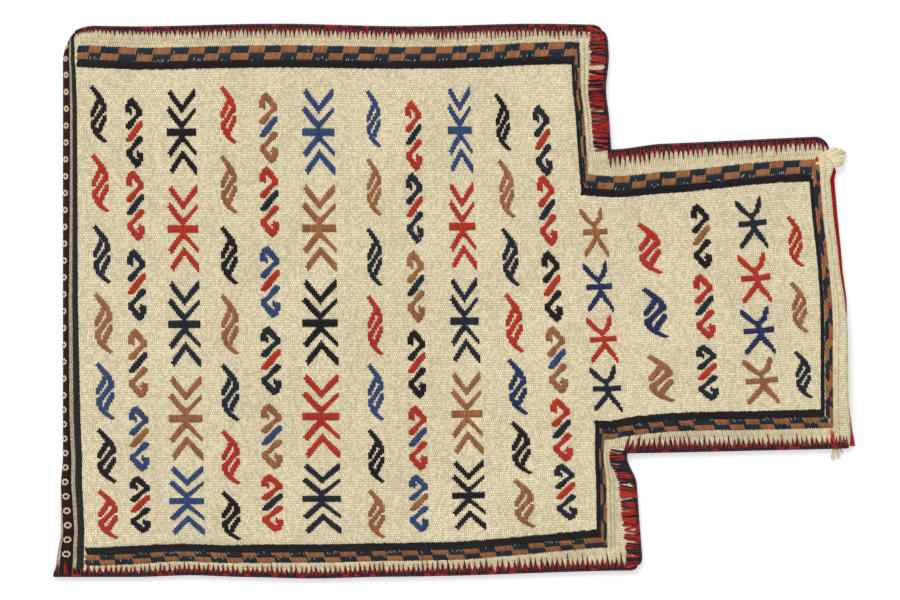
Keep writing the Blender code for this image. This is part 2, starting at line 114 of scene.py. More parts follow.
# How the stripes bend towards the upper corner, across the bag
STRIPE_BEND = (
    (0.0, 0.0), (0.07, 0.0013), (0.137, 0.0026), (0.162, 0.0023), (0.1743, 0.0012),
    (0.183, -0.0011), (0.192, -0.0046),
)

# Borders, as insets from the side seam, the shoulder and the neck seam: upper half, then lower
CHECK_OUTER = ((0.014, 0.0168, 0.0178), (0.0096, 0.0168, 0.0102))
CHECK_INNER = ((0.0238, 0.0204, 0.0272), (0.0168, 0.0208, 0.0176))
LINE_INNER = ((0.0292, 0.0226, 0.0325), (0.022, 0.0238, 0.0228))
# How the borders stray inwards, by distance from the fold: side, then neck
SIDE_STRAY = (
    ((0.016, -0.0016), (0.058, 0.0), (0.24, -0.0005), (0.316, -0.0011), (0.364, -0.0029)),
    ((0.022, -0.003), (0.064, -0.001), (0.106, -0.0016), (0.162, 0.0), (0.274, 0.0002),
     (0.322, 0.0031), (0.357, 0.0056), (0.375, 0.0062)),
)
NECK_STRAY = (
    ((0.391, 0.0001), (0.411, 0.0006), (0.432, 0.0006), (0.452, -0.0004), (0.481, -0.0023),
     (0.509, -0.0036), (0.526, -0.0032)),
    ((0.378, -0.002), (0.387, 0.0006), (0.397, 0.002), (0.408, 0.0027), (0.418, 0.0034),
     (0.44, 0.0037), (0.46, 0.0034), (0.481, 0.0031)),
)
NECK_ENDS = ((0.53, 0.5308, 0.5338), (0.5262, 0.529, 0.5322))
# Checks counted along each border: place, then how many have passed
SIDE_CHECKS = (
    ((0.0129, 0), (0.0314, 2), (0.0678, 5), (0.1042, 8), (0.1224, 10), (0.1462, 12), (0.212, 18),
     (0.2435, 21), (0.3019, 26), (0.3218, 28), (0.3749, 33)),
    ((0.0122, 0), (0.0328, 2), (0.058, 4), (0.0776, 6), (0.1322, 11), (0.1903, 16), (0.2449, 21),
     (0.2756, 24), (0.3359, 30), (0.3529, 32), (0.37, 33)),
)
NECK_CHECKS = (
    ((0.37, 1), (0.3803, 2), (0.4041, 4), (0.4251, 6), (0.4566, 9), (0.4804, 11), (0.5224, 15),
     (0.54, 15.9)),
    ((0.364, 0), (0.3711, 1), (0.404, 4), (0.4355, 7), (0.4502, 8), (0.523, 15), (0.54, 15.9)),
)
SHOULDER_CHECKS = (
    ((0.07, 0), (0.0847, 1), (0.1635, 6), (0.185, 6.9)),
    ((0.08, 0), (0.0935, 1), (0.1705, 7), (0.185, 7.9)),
)
MOUTH_CHECKS = (
    ((-0.0933, 1), (-0.0541, 4), (-0.0079, 7), (0.0166, 9), (0.0369, 10), (0.084, 13)),
    ((-0.087, 1), (-0.0478, 4), (-0.0058, 7), (0.0415, 10), (0.0918, 13)),
)

# Figures: kind, share of the length, half width, and colours from the upper side down
BODY_ROWS = (
    ("flag", 0.073, 0.0062, "KRNTBKR"),
    ("hook", 0.1342, 0.0064, "KR RN NR TN BT KR"),
    ("tree", 0.2176, 0.0114, "KRNTB"),
    ("flag", 0.3, 0.0059, "RTKTNRK"),
    ("hook", 0.3729, 0.0068, "TB RN BR NR TB RN"),
    ("tree", 0.4607, 0.0126, "BTKRN"),
    ("flag", 0.5601, 0.0052, "BTNRBKT"),
    ("hook", 0.6335, 0.006, "RN NR TN KR RB BT"),
    ("tree", 0.7189, 0.01, "BRNTK"),
    ("flag", 0.8068, 0.0057, "KTNRIKT"),
    ("hook", 0.8788, 0.0063, "NR RN KR TB RN NR"),
)
NECK_ROWS = (
    ("star", -0.096, 0.0098, "TIRN"),
    ("flag", 0.1486, 0.008, "RIT"),
    ("hook", 0.3721, 0.0066, "KT RN NR"),
    ("star", 0.6032, 0.0111, "NRIT"),
    ("flag", 0.794, 0.005, "RTN"),
)
# Each row's own tilt, its shift across the bag, and how far it is spread
BODY_TRIM = (
    (0.0, 0.0, 1.0), (0.008, -0.0004, 1.0), (0.01, -0.0006, 1.0), (0.017, -0.0009, 1.0),
    (0.014, 0.0018, 1.006), (0.015, 0.0002, 0.992), (0.016, -0.0016, 0.987), (0.01, -0.0014, 0.99),
    (0.012, 0.0014, 0.995), (0.004, -0.0007, 0.96), (0.008, -0.001, 0.955),
)
NECK_TRIM = (
    (0.0, -0.0003, 1.0), (-0.01, 0.0, 1.0), (0.03, 0.0, 1.0), (0.015, 0.0019, 0.99),
    (0.015, 0.0, 1.01),
)
BODY_SPACING = {
    "flag": (
        (0.684, 0.108), (0.431, 0.109), (0.172, 0.109), (-0.08, 0.113),
        (-0.328, 0.107), (-0.564, 0.101), (-0.778, 0.091),
    ),
    "hook": (
        (0.617, 0.131), (0.35, 0.131), (0.06, 0.133), (-0.226, 0.128),
        (-0.5, 0.121), (-0.741, 0.106),
    ),
    "tree": ((0.621, 0.158), (0.268, 0.159), (-0.08, 0.158), (-0.424, 0.154), (-0.726, 0.128)),
}
NECK_SPACING = {
    "star": ((0.458, 0.17), (0.098, 0.17), (-0.252, 0.161), (-0.582, 0.157)),
    "flag": ((0.337, 0.173), (-0.089, 0.173), (-0.523, 0.157)),
    "hook": ((0.399, 0.216), (-0.062, 0.219), (-0.497, 0.186)),
}
LOWER_WIDENING = 0.13


def hundredths(*points):
    return tuple((x / 100, y / 100) for x, y in points)


# Outlines of the figures' parts, as hundredths of a figure's half width and half height
FLAG = hundredths(
    (-95, 87), (-72, 100), (20, 70), (68, 52), (100, 26), (100, 10), (64, 3), (33, -8),
    (-14, -28), (-42, -40), (-25, -54), (20, -71), (95, -92), (72, -100), (-20, -82),
    (-68, -66), (-100, -42), (-100, -26), (-64, -19), (-33, -8), (14, 12), (42, 24), (25, 38),
    (-20, 55),
)
FLAG_LOBE = hundredths(
    (-97, -6), (-92, 10), (-47, 33), (-20, 52), (20, 38), (-4, 20), (-42, 2), (-64, -11),
    (-86, -13),
)
HOOK = hundredths(
    (-96, 56), (-90, 78), (-72, 90), (-43, 95), (-14, 100), (14, 90), (42, 84), (66, 72),
    (92, 66), (94, 48), (56, 43), (26, 35), (-14, 19), (-54, 8), (-99, 13), (-84, 28),
    (-31, 37), (-6, 44), (38, 55), (30, 61), (-6, 70), (-28, 77), (-43, 72), (-22, 64),
    (-24, 51), (-40, 49), (-50, 56),
)
HOOK_BAR = hundredths(
    (-99, -20), (-63, -5), (-3, 14), (82, 36), (99, 27), (88, 15), (54, 6), (8, -12),
    (-48, -26), (-90, -25),
)
CHEVRON = hundredths(
    (-67, 100), (-80, 89), (-70, 80), (-17, 54), (7, 41), (29, 53), (74, 72), (99, 83),
    (99, 95), (92, 100), (40, 77), (10, 60), (-25, 78),
)
INNER_CHEVRON = hundredths(
    (-74, 60), (-90, 49), (-74, 39), (-36, 20), (-10, 10), (-8, -2), (12, -2), (14, 9),
    (40, 20), (74, 36), (98, 46), (98, 57), (71, 47), (40, 34), (6, 22), (-25, 36),
)
TREE_BAR = hundredths((-95, 7.5), (94, 7.5), (94, -10), (-95, -10))
STAR_TOP = hundredths(
    (-100, 89), (-97, 66), (-64, 43), (-27, 26), (-8, 17), (-2, 0), (24, 0), (20, 19), (32, 28),
    (60, 43), (76, 81), (67, 100), (48, 87), (31, 55), (8, 37), (-13, 40), (-34, 54), (-64, 75),
    (-88, 87),
)
STAR_BAR = hundredths(
    (-88, 7), (-87, -15), (30, -12), (100, -9), (95, 14), (30, 9),
)
STAR_FOOT = hundredths(
    (2, 0), (-8, -26), (-38, -44), (-69, -70), (-87, -80), (-86, -94), (-74, -100), (-41, -78),
    (-6, -55), (15, -37), (34, -57), (66, -75), (80, -89), (93, -99), (99, -86), (87, -65),
    (62, -43), (38, -23), (22, 0),
)

# Wool colours as they look on a screen
COLOURS = {
    "cream": (0.9, 0.845, 0.7),
    "ground": (0.95, 0.912, 0.775),
    "K": (0.105, 0.098, 0.112),
    "R": (0.715, 0.205, 0.135),
    "N": (0.125, 0.155, 0.2),
    "B": (0.21, 0.285, 0.45),
    "I": (0.16, 0.195, 0.35),
    "T": (0.615, 0.405, 0.255),
    "check": (0.125, 0.165, 0.21),
    "stripe": (0.15, 0.165, 0.15),
    "pink": (0.8, 0.715, 0.61),
    "maroon": (0.235, 0.1, 0.1),
    "crimson": (0.64, 0.13, 0.14),
    # The hem's own red, made lighter as painted light to offset the shade the front panel casts on
    # it at the mouth
    "hem": (0.74, 0.14, 0.12),
    "dark": (0.105, 0.095, 0.125),
    "white": (0.94, 0.93, 0.9),
}

# The darker gaps between the beads of the plain weave: painted shade, the colour the gaps are mixed
# towards
GAP_SHADE_COLOURS = {"ground": (0.64, 0.545, 0.385), "pink": (0.4, 0.31, 0.26)}

# Camera: the photograph's 900 x 600 frame at 0.7 mm a pixel, straight from above
FRAME_WIDTH = 900
FRAME_HEIGHT = 600
PIXEL = 0.0007
LEFT_PIXEL = 62.5
MIDDLE_PIXEL = 301.0
LENS = 240.0
SENSOR = 36.0
FOCUS_HEIGHT = 0.007


def smooth(low, high, value):
    share = min(max((value - low) / (high - low), 0.0), 1.0)
    return share * share * (3 - 2 * share)


def bump(centre, reach, value):
    """1 at the centre, falling smoothly to nothing at this distance."""
    return smooth(reach, 0.0, abs(value - centre)) if abs(value - centre) < reach else 0.0


def between(table, value):
    """Straight lines between pairs of place and amount, in rising order of place."""
    if value <= table[0][0]:
        return table[0][1]
    for (a, x), (b, y) in zip(table, table[1:]):
        if value <= b:
            return x + (y - x) * (value - a) / (b - a)
    return table[-1][1]


def heading(start, end):
    """Unit direction from one point to another, seen from above."""
    dx, dy = end[0] - start[0], end[1] - start[1]
    size = math.hypot(dx, dy) or 1.0
    return dx / size, dy / size


def round_corners(along, across):
    """The same point with the corners of the cloth pulled into curves."""
    for place, side, reach_along, reach_across in CORNERS:
        half = HALF_NECK if place == LENGTH else HALF_BODY
        a = 1 - abs(place - along) / reach_along
        b = 1 - (half - side * across) / reach_across
        if a > 0 and b > 0:
            a, b = min(a, 1.0), min(b, 1.0)
            inset_a = (1 - a * math.sqrt(1 - b * b / 2)) * reach_along
            inset_b = (1 - b * math.sqrt(1 - a * a / 2)) * reach_across
            along = place + inset_a if place == 0 else place - inset_a
            across = side * (half - inset_b)
    return along, across


# How far the front edge at the mouth stands from a straight line, across the neck
MOUTH_SHIFT = (
    (-0.107, -0.0039), (-0.0968, -0.0023), (-0.0758, -0.0028), (-0.0513, -0.0012),
    (-0.0268, 0.0004), (-0.0058, -0.0003), (0.0152, -0.0021), (0.0292, -0.0025),
    (0.0502, -0.0037), (0.078, -0.0043), (0.086, -0.0012), (0.107, 0.0),
)
# How far the back edge stands beyond the front one there
BACK_SHOWS = (
    (-0.107, 0.004), (-0.1, 0.0022), (-0.0968, 0.0012), (-0.07, 0.0004), (-0.06, 0.0),
    (-0.0268, 0.0), (-0.018, 0.0009), (-0.0058, 0.002), (0.0292, 0.0028), (0.0502, 0.0034),
    (0.078, 0.0036), (0.084, 0.003), (0.088, 0.0), (0.107, 0.0),
)


# Unevenness of the hand-sewn outline. A pull or wave is an amount, its centre and its reach.
UPPER_WAVE, UPPER_CREST, UPPER_WAVE_LENGTH = 0.0009, 0.153, 0.1925
NECK_TURN = 0.03
NECK_SEAM_REACH = (0.03, 0.135)
LOWER_NECK_PULL = 0.0014
UPPER_NECK_PULL = (0.0026, BODY_LENGTH + 0.004, 0.034)
LOWER_WAVES = ((0.0012, 0.085, 0.04), (-0.001, 0.17, 0.05))
LOWER_WAVES_START = -0.12
LOWER_PULL, LOWER_PULL_RISE = 0.0012, (0.2, 0.3)
SHOULDER_PUSH, SHOULDER_PUSH_RISE, SHOULDER_PUSH_DEPTH = 0.003, (0.125, 0.16), 0.022
SHOULDER_NOTCHES = ((0.003, 0.15, 0.024), (0.0052, -0.112, 0.02))
FOLD_PULL, FOLD_PULL_RISE = 0.0015, (-0.108, -0.13)
FOLD_NOTCH = (0.002, -0.177, 0.018)
FOLD_DEPTH = 0.03
MOUTH_DEPTH = 0.014
BACK_DEPTH = 0.03


def wander(along, across):
    """How far the outline strays across the bag at this place."""
    up = max(across / HALF_BODY, 0.0)
    turn = 2 * math.pi * (along - UPPER_CREST) / UPPER_WAVE_LENGTH
    y = UPPER_WAVE * math.cos(turn) * up**3
    if along > BODY_LENGTH - NECK_TURN:
        inside, outside = NECK_SEAM_REACH
        seam = smooth(inside, HALF_NECK, abs(across)) * smooth(outside, HALF_NECK, abs(across))
        if across < 0:
            y -= LOWER_NECK_PULL * seam * smooth(BODY_LENGTH - NECK_TURN, BODY_LENGTH, along)
        else:
            amount, centre, reach = UPPER_NECK_PULL
            y -= amount * seam * bump(centre, reach, along)
    low = smooth(LOWER_WAVES_START, -HALF_BODY, across)
    for amount, centre, reach in LOWER_WAVES:
        y += amount * low * bump(centre, reach, along)
    return y - LOWER_PULL * low * smooth(*LOWER_PULL_RISE, along)


def plan(along, across):
    """World x and y of a point of the cloth, by its distance from the fold and the centre line."""
    flat_along, flat_across = along, across
    along, across = round_corners(along, across)
    lean = FOOT_LEAN * smooth(0.0, FOOT_LEAN_REACH, along)
    lean += (SHOULDER_LEAN - FOOT_LEAN) * smooth(LEAN_STARTS, LEAN_ENDS, along)
    squeeze = LOWER_SQUEEZE * smooth(BODY_LENGTH / 2, BODY_LENGTH, along)
    up_neck = max(along - BODY_LENGTH, 0.0)
    drift = NECK_DRIFT * up_neck / NECK_LENGTH
    fade = max(1 - up_neck / NECK_LENGTH, 0.0)
    y = across + drift - min(across, 0.0) * squeeze * fade
    corner = max(1 - (HALF_BODY + across) / FOOT_CORNER_REACH, 0.0)
    flare = FOOT_CORNER_FLARE * corner**2 * max(1 - along / FOOT_CORNER_REACH, 0.0)
    x = along - LENGTH / 2 - lean * across - flare
    push = smooth(*SHOULDER_PUSH_RISE, flat_across)
    x += SHOULDER_PUSH * (push * smooth(BODY_LENGTH - SHOULDER_PUSH_DEPTH, BODY_LENGTH, flat_along))
    near_shoulder = smooth(BODY_LENGTH - NECK_TURN, BODY_LENGTH, flat_along)
    near_shoulder *= smooth(BODY_LENGTH + NECK_TURN, BODY_LENGTH, flat_along)
    for amount, centre, reach in SHOULDER_NOTCHES:
        x -= amount * bump(centre, reach, flat_across) * near_shoulder
    near_fold = smooth(FOLD_DEPTH, 0.0, flat_along)
    x -= FOLD_PULL * smooth(*FOLD_PULL_RISE, flat_across) * near_fold
    amount, centre, reach = FOLD_NOTCH
    x -= amount * bump(centre, reach, flat_across) * near_fold
    if flat_along > LENGTH - MOUTH_DEPTH:
        x += between(MOUTH_SHIFT, flat_across) * smooth(LENGTH - MOUTH_DEPTH, LENGTH, flat_along)
    return x, y + wander(flat_along, flat_across)


def rise(inset):
    return smooth(SEAM_MARGIN - 0.001, SEAM_MARGIN + SEAM_RISE, inset)


def fullness(along, across):
    from_neck = rise(HALF_NECK - abs(across))
    if along >= BODY_LENGTH:
        return from_neck
    from_shoulder = rise(BODY_LENGTH - along)
    return rise(HALF_BODY - abs(across)) * (1 - (1 - from_shoulder) * (1 - from_neck))


def fold_radius(across):
    full = rise(HALF_BODY - abs(across))
    return (2 * CLOTH + CLEARANCE + (FOLD_OPENING - CLEARANCE) * full) / 2


def back_outer(along, across):
    return EDGE_LIFT * (1 - fullness(along, across))


def front_outer(along, across):
    """Height of the front panel's top, with a slight billow where the panels part."""
    full = fullness(along, across)
    radius = fold_radius(across)
    middle = FOLD_OPENING
    middle += (BODY_OPENING - FOLD_OPENING) * smooth(0.0, FOLD_RISE, along - radius)
    middle += (MOUTH_OPENING - BODY_OPENING) * smooth(BODY_LENGTH, LENGTH, along)
    wave = math.sin(along * 61 + across * 11) * math.sin(across * 47 - along * 9 + 0.6)
    billow = BILLOW * full * smooth(0.01, 0.06, along) * smooth(LENGTH, LENGTH - 0.03, along) * wave
    opening = CLEARANCE + (middle - CLEARANCE) * full
    return EDGE_LIFT * (1 - full) + 2 * CLOTH + opening + billow


def sheet_point(station, across, depth, relief=0.0):
    """A point of the cloth. A station within PATH_END is a path distance over the fold, and one
    beyond is a distance from the fold along the panel; a negative one is on the back."""
    radius = fold_radius(across)
    quarter = math.pi * radius / 2
    reach = abs(station)
    top = 2 * radius + back_outer(0.0, across)
    if reach < quarter:
        angle = station / radius
        inner = radius - depth + relief
        x, y = plan(radius - radius * math.cos(angle), across)
        bend = (radius - inner) * math.cos(angle)
        return x + bend, y, top - radius + inner * math.sin(angle)
    along = reach - quarter + radius if reach <= PATH_END else reach
    x, y = plan(along, across)
    if station > 0:
        return x, y, front_outer(along, across) - depth + relief
    if along > LENGTH - BACK_DEPTH:
        x += between(BACK_SHOWS, across) * smooth(LENGTH - BACK_DEPTH, LENGTH, along)
    return x, y, back_outer(along, across) + depth - relief + RIB_RELIEF


def stripe_edge(index, across):
    """Path distance of a stripe's edge at this place across the bag."""
    _, middle, lower = STRIPES[index]
    return middle + between(STRIPE_BEND, across) + (lower - middle) * smooth(*STRIPES_TURN, across)


def across_lines():
    """Places across the bag, two to a rib."""
    half = [HALF_NECK * k / NECK_HALF_RIBS for k in range(NECK_HALF_RIBS + 1)]
    step = (HALF_BODY - HALF_NECK) / BODY_HALF_RIBS
    half += [HALF_NECK + step * (k + 1) for k in range(BODY_HALF_RIBS)]
    numbered = [(k, value) for k, value in enumerate(half)]
    return [(-k, -value) for k, value in reversed(numbered[1:])] + numbered


def spaced(start, end, step):
    count = max(round((end - start) / step), 1)
    return [start + (end - start) * k / count for k in range(count + 1)]


def middles(start, end, pitch):
    """The middle of each of the equal steps that come nearest to this pitch."""
    count = max(round((end - start) / pitch), 1)
    return [start + (end - start) * (n + 0.5) / count for n in range(count)]


def outer_stations(across):
    """Stations along the sheet's outside, each with the colour of what follows it."""
    edges = [stripe_edge(k, across) for k in range(len(STRIPES))]
    stations = []
    for k, low in enumerate(edges[:-1]):
        parts = 4 if STRIPES[k][0] == "maroon" else 2
        high = edges[k + 1]
        stations += [(low + (high - low) * n / parts, STRIPES[k][0]) for n in range(parts)]
    stations += [(edges[-1], "ground"), (0.0175, "ground")]
    far = [0.0215, 0.025] + spaced(0.029, 0.053, 0.004)
    far += spaced(0.053, BODY_LENGTH - 0.03, 0.0062)[1:]
    far += spaced(BODY_LENGTH - 0.03, BODY_LENGTH, 0.003)[1:]
    far += spaced(BODY_LENGTH, LENGTH - 0.02, 0.0055)[1:] + spaced(LENGTH - 0.02, LENGTH, 0.0025)[1:]
    stations += [(value, "ground") for value in far]
    back = [-LENGTH, -LENGTH + 0.004, -LENGTH + 0.02, -LENGTH + 0.08, -BODY_LENGTH]
    back += [-BODY_LENGTH + 0.01, -BODY_LENGTH + 0.02, -BODY_LENGTH + 0.03, -0.27, -0.18, -0.1]
    back += [-0.06, -0.03, -0.014, -0.0095]
    colours = ["hem"] + ["ground"] * (len(back) - 3) + ["stripe", "stripe"]
    return list(zip(back, colours)) + stations


def make_sheet(wools):
    """The whole cloth: closed, folded once at the foot, with ribs along the bag on its outside."""
    lines = across_lines()
    verts, faces, colours, uvs, grid = [], [], [], [], []
    sample = outer_stations(0.0)
    count = len(sample)
    shoulder = {k for k, (value, _) in enumerate(sample) if abs(abs(value) - BODY_LENGTH) < 1e-9}
    first, last = min(shoulder), max(shoulder)
    front_start = next(k for k, (value, _) in enumerate(sample) if value > 0.0215)
    inner = [k for k in range(count) if k < front_start or (k - front_start) % 4 == 0
             or k == count - 1 or k in shoulder]
    inner_at = {k: n for n, k in enumerate(inner)}
    for number, across in lines:
        relief = RIB_RELIEF * (1 if number % 2 else -1)
        outside, inside = {}, {}
        wide = abs(across) > HALF_NECK + 1e-9
        for k, (station, _) in enumerate(outer_stations(across)):
            if wide and not first <= k <= last:
                continue
            outside[k] = len(verts)
            verts.append(sheet_point(station, across, 0.0, relief))
            uvs.append((station / BEAD_PITCH, number / 2))
            if k in inner_at:
                inside[k] = len(verts)
                verts.append(sheet_point(station, across, CLOTH))
                uvs.append((station / BEAD_PITCH, number / 2))
        grid.append((outside, inside))

    def add(corners, colour):
        faces.append(corners)
        colours.append(colour)

    for (out_a, in_a), (out_b, in_b) in zip(grid, grid[1:]):
        both = [k for k in range(count) if k in out_a and k in out_b]
        for k, after in zip(both, both[1:]):
            add((out_a[k], out_a[after], out_b[after], out_b[k]), sample[k][1])
        both = [k for k in inner if k in in_a and k in in_b]
        for k, after in zip(both, both[1:]):
            add((in_a[after], in_a[k], in_b[k], in_b[after]), "hem" if k == 0 else "ground")
        for k, turned in ((both[0], False), (both[-1], True)):
            rim = (out_a[k], out_b[k], in_b[k], in_a[k])
            add(rim[::-1] if turned else rim, "hem" if k == 0 else "ground")

    def side_strip(out, ins, keys, turned):
        for k, after in zip(keys, keys[1:]):
            ring = [out[n] for n in range(k, after + 1)] + [ins[after], ins[k]]
            add(tuple(ring[::-1] if turned else ring), sample[k][1])

    side_strip(*grid[0], [k for k in inner if first <= k <= last], True)
    side_strip(*grid[-1], [k for k in inner if first <= k <= last], False)
    for index, (_, across) in enumerate(lines):
        if abs(abs(across) - HALF_NECK) < 1e-9:
            for keys in ([k for k in inner if k <= first], [k for k in inner if k >= last]):
                side_strip(*grid[index], keys, across < 0)
    names = ["ground", "pink", "K", "maroon", "stripe", "hem"]
    obj = add_piece("woven_ground", verts, faces, colours, names, wools)
    layer = obj.data.uv_layers.new(name="weave")
    flat = [value for loop in obj.data.loops for value in uvs[loop.vertex_index]]
    layer.data.foreach_set("uv", flat)
    return obj


def add_piece(name, verts, faces, keys, names, wools):
    """A smooth piece whose faces have the wools of their keys."""
    mesh = bpy.data.meshes.new(name)
    mesh.from_pydata(verts, [], faces)
    for key in names:
        mesh.materials.append(wools[key])
    mesh.polygons.foreach_set("material_index", [names.index(key) for key in keys])
    mesh.polygons.foreach_set("use_smooth", [True] * len(faces))
    mesh.update()
    obj = bpy.data.objects.new(name, mesh)
    bpy.context.scene.collection.objects.link(obj)
    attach(obj, "root")
    return obj


class Pile:
    """Strands of yarn gathered into one mesh, each with a tint of its own."""

    def __init__(self, name):
        self.name, self.verts, self.faces, self.tints, self.keys = name, [], [], [], []

    def strand(self, spine, side, wide, high, key, sides=6, tapers=None):
        """A closed strand through these points. Its first and last points are its tips."""
        tint = RANDOM.random()
        start = len(self.verts)
        self.verts.append(spine[0])
        count = len(spine) - 2
        for n in range(1, count + 1):
            (ax, ay, az), (bx, by, bz) = spine[n - 1], spine[n + 1]
            dx, dy, dz = bx - ax, by - ay, bz - az
            sx, sy = side
            nx, ny, nz = sy * dz, -sx * dz, sx * dy - sy * dx
            size = math.sqrt(nx * nx + ny * ny + nz * nz) or 1.0
            taper = tapers[n - 1] if tapers else 1.0 if 1 < n < count else 0.88
            w, h = wide * taper, high * taper / size
            x, y, z = spine[n]
            for k in range(sides):
                c = math.cos(2 * math.pi * k / sides) * w
                s = math.sin(2 * math.pi * k / sides) * h
                self.verts.append((x + sx * c + nx * s, y + sy * c + ny * s, z + nz * s))
        self.verts.append(spine[-1])
        end = len(self.verts) - 1
        for n in range(count - 1):
            low, high_ring = start + 1 + n * sides, start + 1 + (n + 1) * sides
            for k in range(sides):
                after = (k + 1) % sides
                self.faces.append((low + k, low + after, high_ring + after, high_ring + k))
        for k in range(sides):
            after = (k + 1) % sides
            self.faces.append((start, start + 1 + after, start + 1 + k))
            ring = end - sides
            self.faces.append((ring + k, ring + after, end))
        self.tints += [tint] * (len(self.verts) - start)
        self.keys += [key] * (len(self.faces) - len(self.keys))

    def yarn(self, spine, wide, high, key):
        """A strand whose width lies flat, square to the line between its tips."""
        dx, dy = heading(spine[0], spine[-1])
        self.strand(spine, (dy, -dx), wide, high, key)

    def build(self, wools, slot="wool_cloth"):
        names = sorted(set(self.keys))
        obj = add_piece(self.name, self.verts, self.faces, self.keys, names, wools)
        tints = obj.data.attributes.new("tint", "FLOAT", "POINT")
        tints.data.foreach_set("value", self.tints)
        return obj


def stitch(pile, start, end, key, wide=STITCH_WIDTH, high=STITCH_HEIGHT, lift=0.0, station=False):
    """One stitch lying on the front of the cloth between two places, given along and across."""
    (u0, v0), (u1, v1) = start, end
    length = math.hypot(u1 - u0, v1 - v0)
    rings = 2 if length < 0.003 else 3 if length < 0.0075 else 4
    tip = min(0.0006 / max(length, 0.0001), 0.28)
    shares = [0.0] + [tip + (1 - 2 * tip) * n / (rings - 1) for n in range(rings)] + [1.0]
    spine = []
    for share in shares:
        u, v = u0 + (u1 - u0) * share, v0 + (v1 - v0) * share
        x, y, z = sheet_point(u, v, 0.0) if station else (*plan(u, v), front_outer(u, v))
        spine.append((x, y, z + lift + (TIP_LIFT if share in (0.0, 1.0) else 0.55 * high)))
    pile.yarn(spine, wide, high, key)


def turned(shape):
    return tuple((-x, -y) for x, y in shape)


def mirrored(shape):
    return tuple((x, -y) for x, y in shape)


def figure_shapes(kind, colours):
    """Pairs of colour and outlines that make one figure."""
    if kind == "flag":
        lower_lobe = tuple((-x, -0.16 - y) for x, y in FLAG_LOBE)
        return [(colours, (FLAG, FLAG_LOBE, lower_lobe))]
    if kind == "star":
        return [(colours, (STAR_TOP, STAR_BAR, STAR_FOOT))]
    if kind == "hook":
        return [(colours[0], (HOOK, turned(HOOK))), (colours[1], (HOOK_BAR,))]
    shapes = (CHEVRON, INNER_CHEVRON, TREE_BAR, mirrored(INNER_CHEVRON), mirrored(CHEVRON))
    return [(colours, shapes)]


def crossings(ring, x):
    """The stretches of a line of constant x inside a closed outline, as pairs of low and high."""
    found = []
    for (ax, ay), (bx, by) in zip(ring, ring[1:] + ring[:1]):
        if (ax <= x) != (bx <= x):
            found.append(ay + (by - ay) * (x - ax) / (bx - ax))
    found.sort()
    return list(zip(found[::2], found[1::2]))


def merged(stretches):
    """The stretches with overlapping ones made one."""
    joined = []
    for low, high in sorted(stretches):
        if joined and low <= joined[-1][1] + 0.0005:
            joined[-1][1] = max(joined[-1][1], high)
        else:
            joined.append([low, high])
    return joined


def fill_outlines(pile, rings, key):
    """Stitches across the bag, column by column, over the inside of some outlines."""
    low = min(x for ring in rings for x, _ in ring)
    high = max(x for ring in rings for x, _ in ring)
    columns = max(round((high - low) / STITCH_PITCH), 1)
    pitch = (high - low) / columns
    for column in range(columns):
        x = low + pitch * (column + 0.5)
        inside = [stretch for ring in rings for stretch in crossings(ring, x)]
        for bottom, top in merged(inside):
            bottom -= 0.0002 + 0.0003 * RANDOM.random()
            top += 0.0002 + 0.0003 * RANDOM.random()
            if top - bottom < 0.0019:
                middle = (top + bottom) / 2
                bottom, top = middle - 0.00095, middle + 0.00095
            jitter = RANDOM.uniform(-0.00006, 0.00006)
            stitch(pile, (x + jitter, bottom), (x + jitter, top), key, wide=pitch * 0.6)


def figures_row(pile, row, start, length, spacing, half_span, trim):
    kind, place_along, half_width, colours = row
    tilt, lift, spread = trim
    colours = colours.split() if kind == "hook" else colours
    for colour, (place, half_share) in zip(colours, spacing[kind]):
        width = half_width * (1 - LOWER_WIDENING * place)
        middle, half_height = place * half_span * spread + lift, half_share * half_span
        centre = start + place_along * length + tilt * middle
        for key, shapes in figure_shapes(kind, colour):
            rings = [[(centre + x * width, middle + y * half_height) for x, y in shape]
                     for shape in shapes]
            fill_outlines(pile, rings, key)


def all_figures(wools):
    made = []
    parts = (
        ("body", BODY_ROWS, BODY_TRIM, 0.0, BODY_LENGTH, BODY_SPACING, HALF_BODY),
        ("neck", NECK_ROWS, NECK_TRIM, BODY_LENGTH, NECK_LENGTH, NECK_SPACING, HALF_NECK),
    )
    for word, rows, trims, start, length, spacing, half_span in parts:
        for number, (row, trim) in enumerate(zip(rows, trims)):
            pile = Pile(f"{word}_figures_{number + 1:02d}")
            figures_row(pile, row, start, length, spacing, half_span, trim)
            made.append(pile.build(wools))
    return made


def check_key(place, row, checks):
    """The colour of a check border at this distance along it, in its outer or inner row."""
    even = math.floor(between(checks, place)) % 2 == 0
    return "check" if even == (row == 0) else "T"


def seam_border(pile, sign, insets, starts, ends, half, checks, stray, slant):
    """Black line and two rows of checks beside a seam that runs along the bag."""
    outer, inner, line = insets
    middle = (outer + inner) / 2
    bands = ((line, inner, "K"), (inner, middle, 1), (middle, outer, 0))
    for (near, far, kind), start, end in zip(bands, starts, ends):
        shear = slant * abs(near - far)
        for u in middles(start, end, STITCH_PITCH):
            drift = between(stray, u)
            a, b = sign * (half - near - drift), sign * (half - far - drift)
            key = kind if kind == "K" else check_key(u, kind, checks)
            low = 0.0002 + RANDOM.uniform(0.0, 0.0006 if kind == "K" else 0.0002)
            high = 0.0003 + RANDOM.uniform(0.0, 0.0005 if kind == 0 else 0.0002)
            stitch(pile, (u - shear / 2, a - sign * low), (u + shear / 2, b + sign * high), key,
                   wide=0.00084)
            if key == "check" and RANDOM.random() < (0.45 if kind == 1 else 0.15):
                tick = RANDOM.uniform(0.0006, 0.0026)
                base = a - sign * RANDOM.uniform(-0.0006, 0.001)
                stitch(pile, (u, base), (u + 0.4 * tick, base + sign * tick), "cream",
                       wide=0.0002, high=0.0003, lift=0.0005)


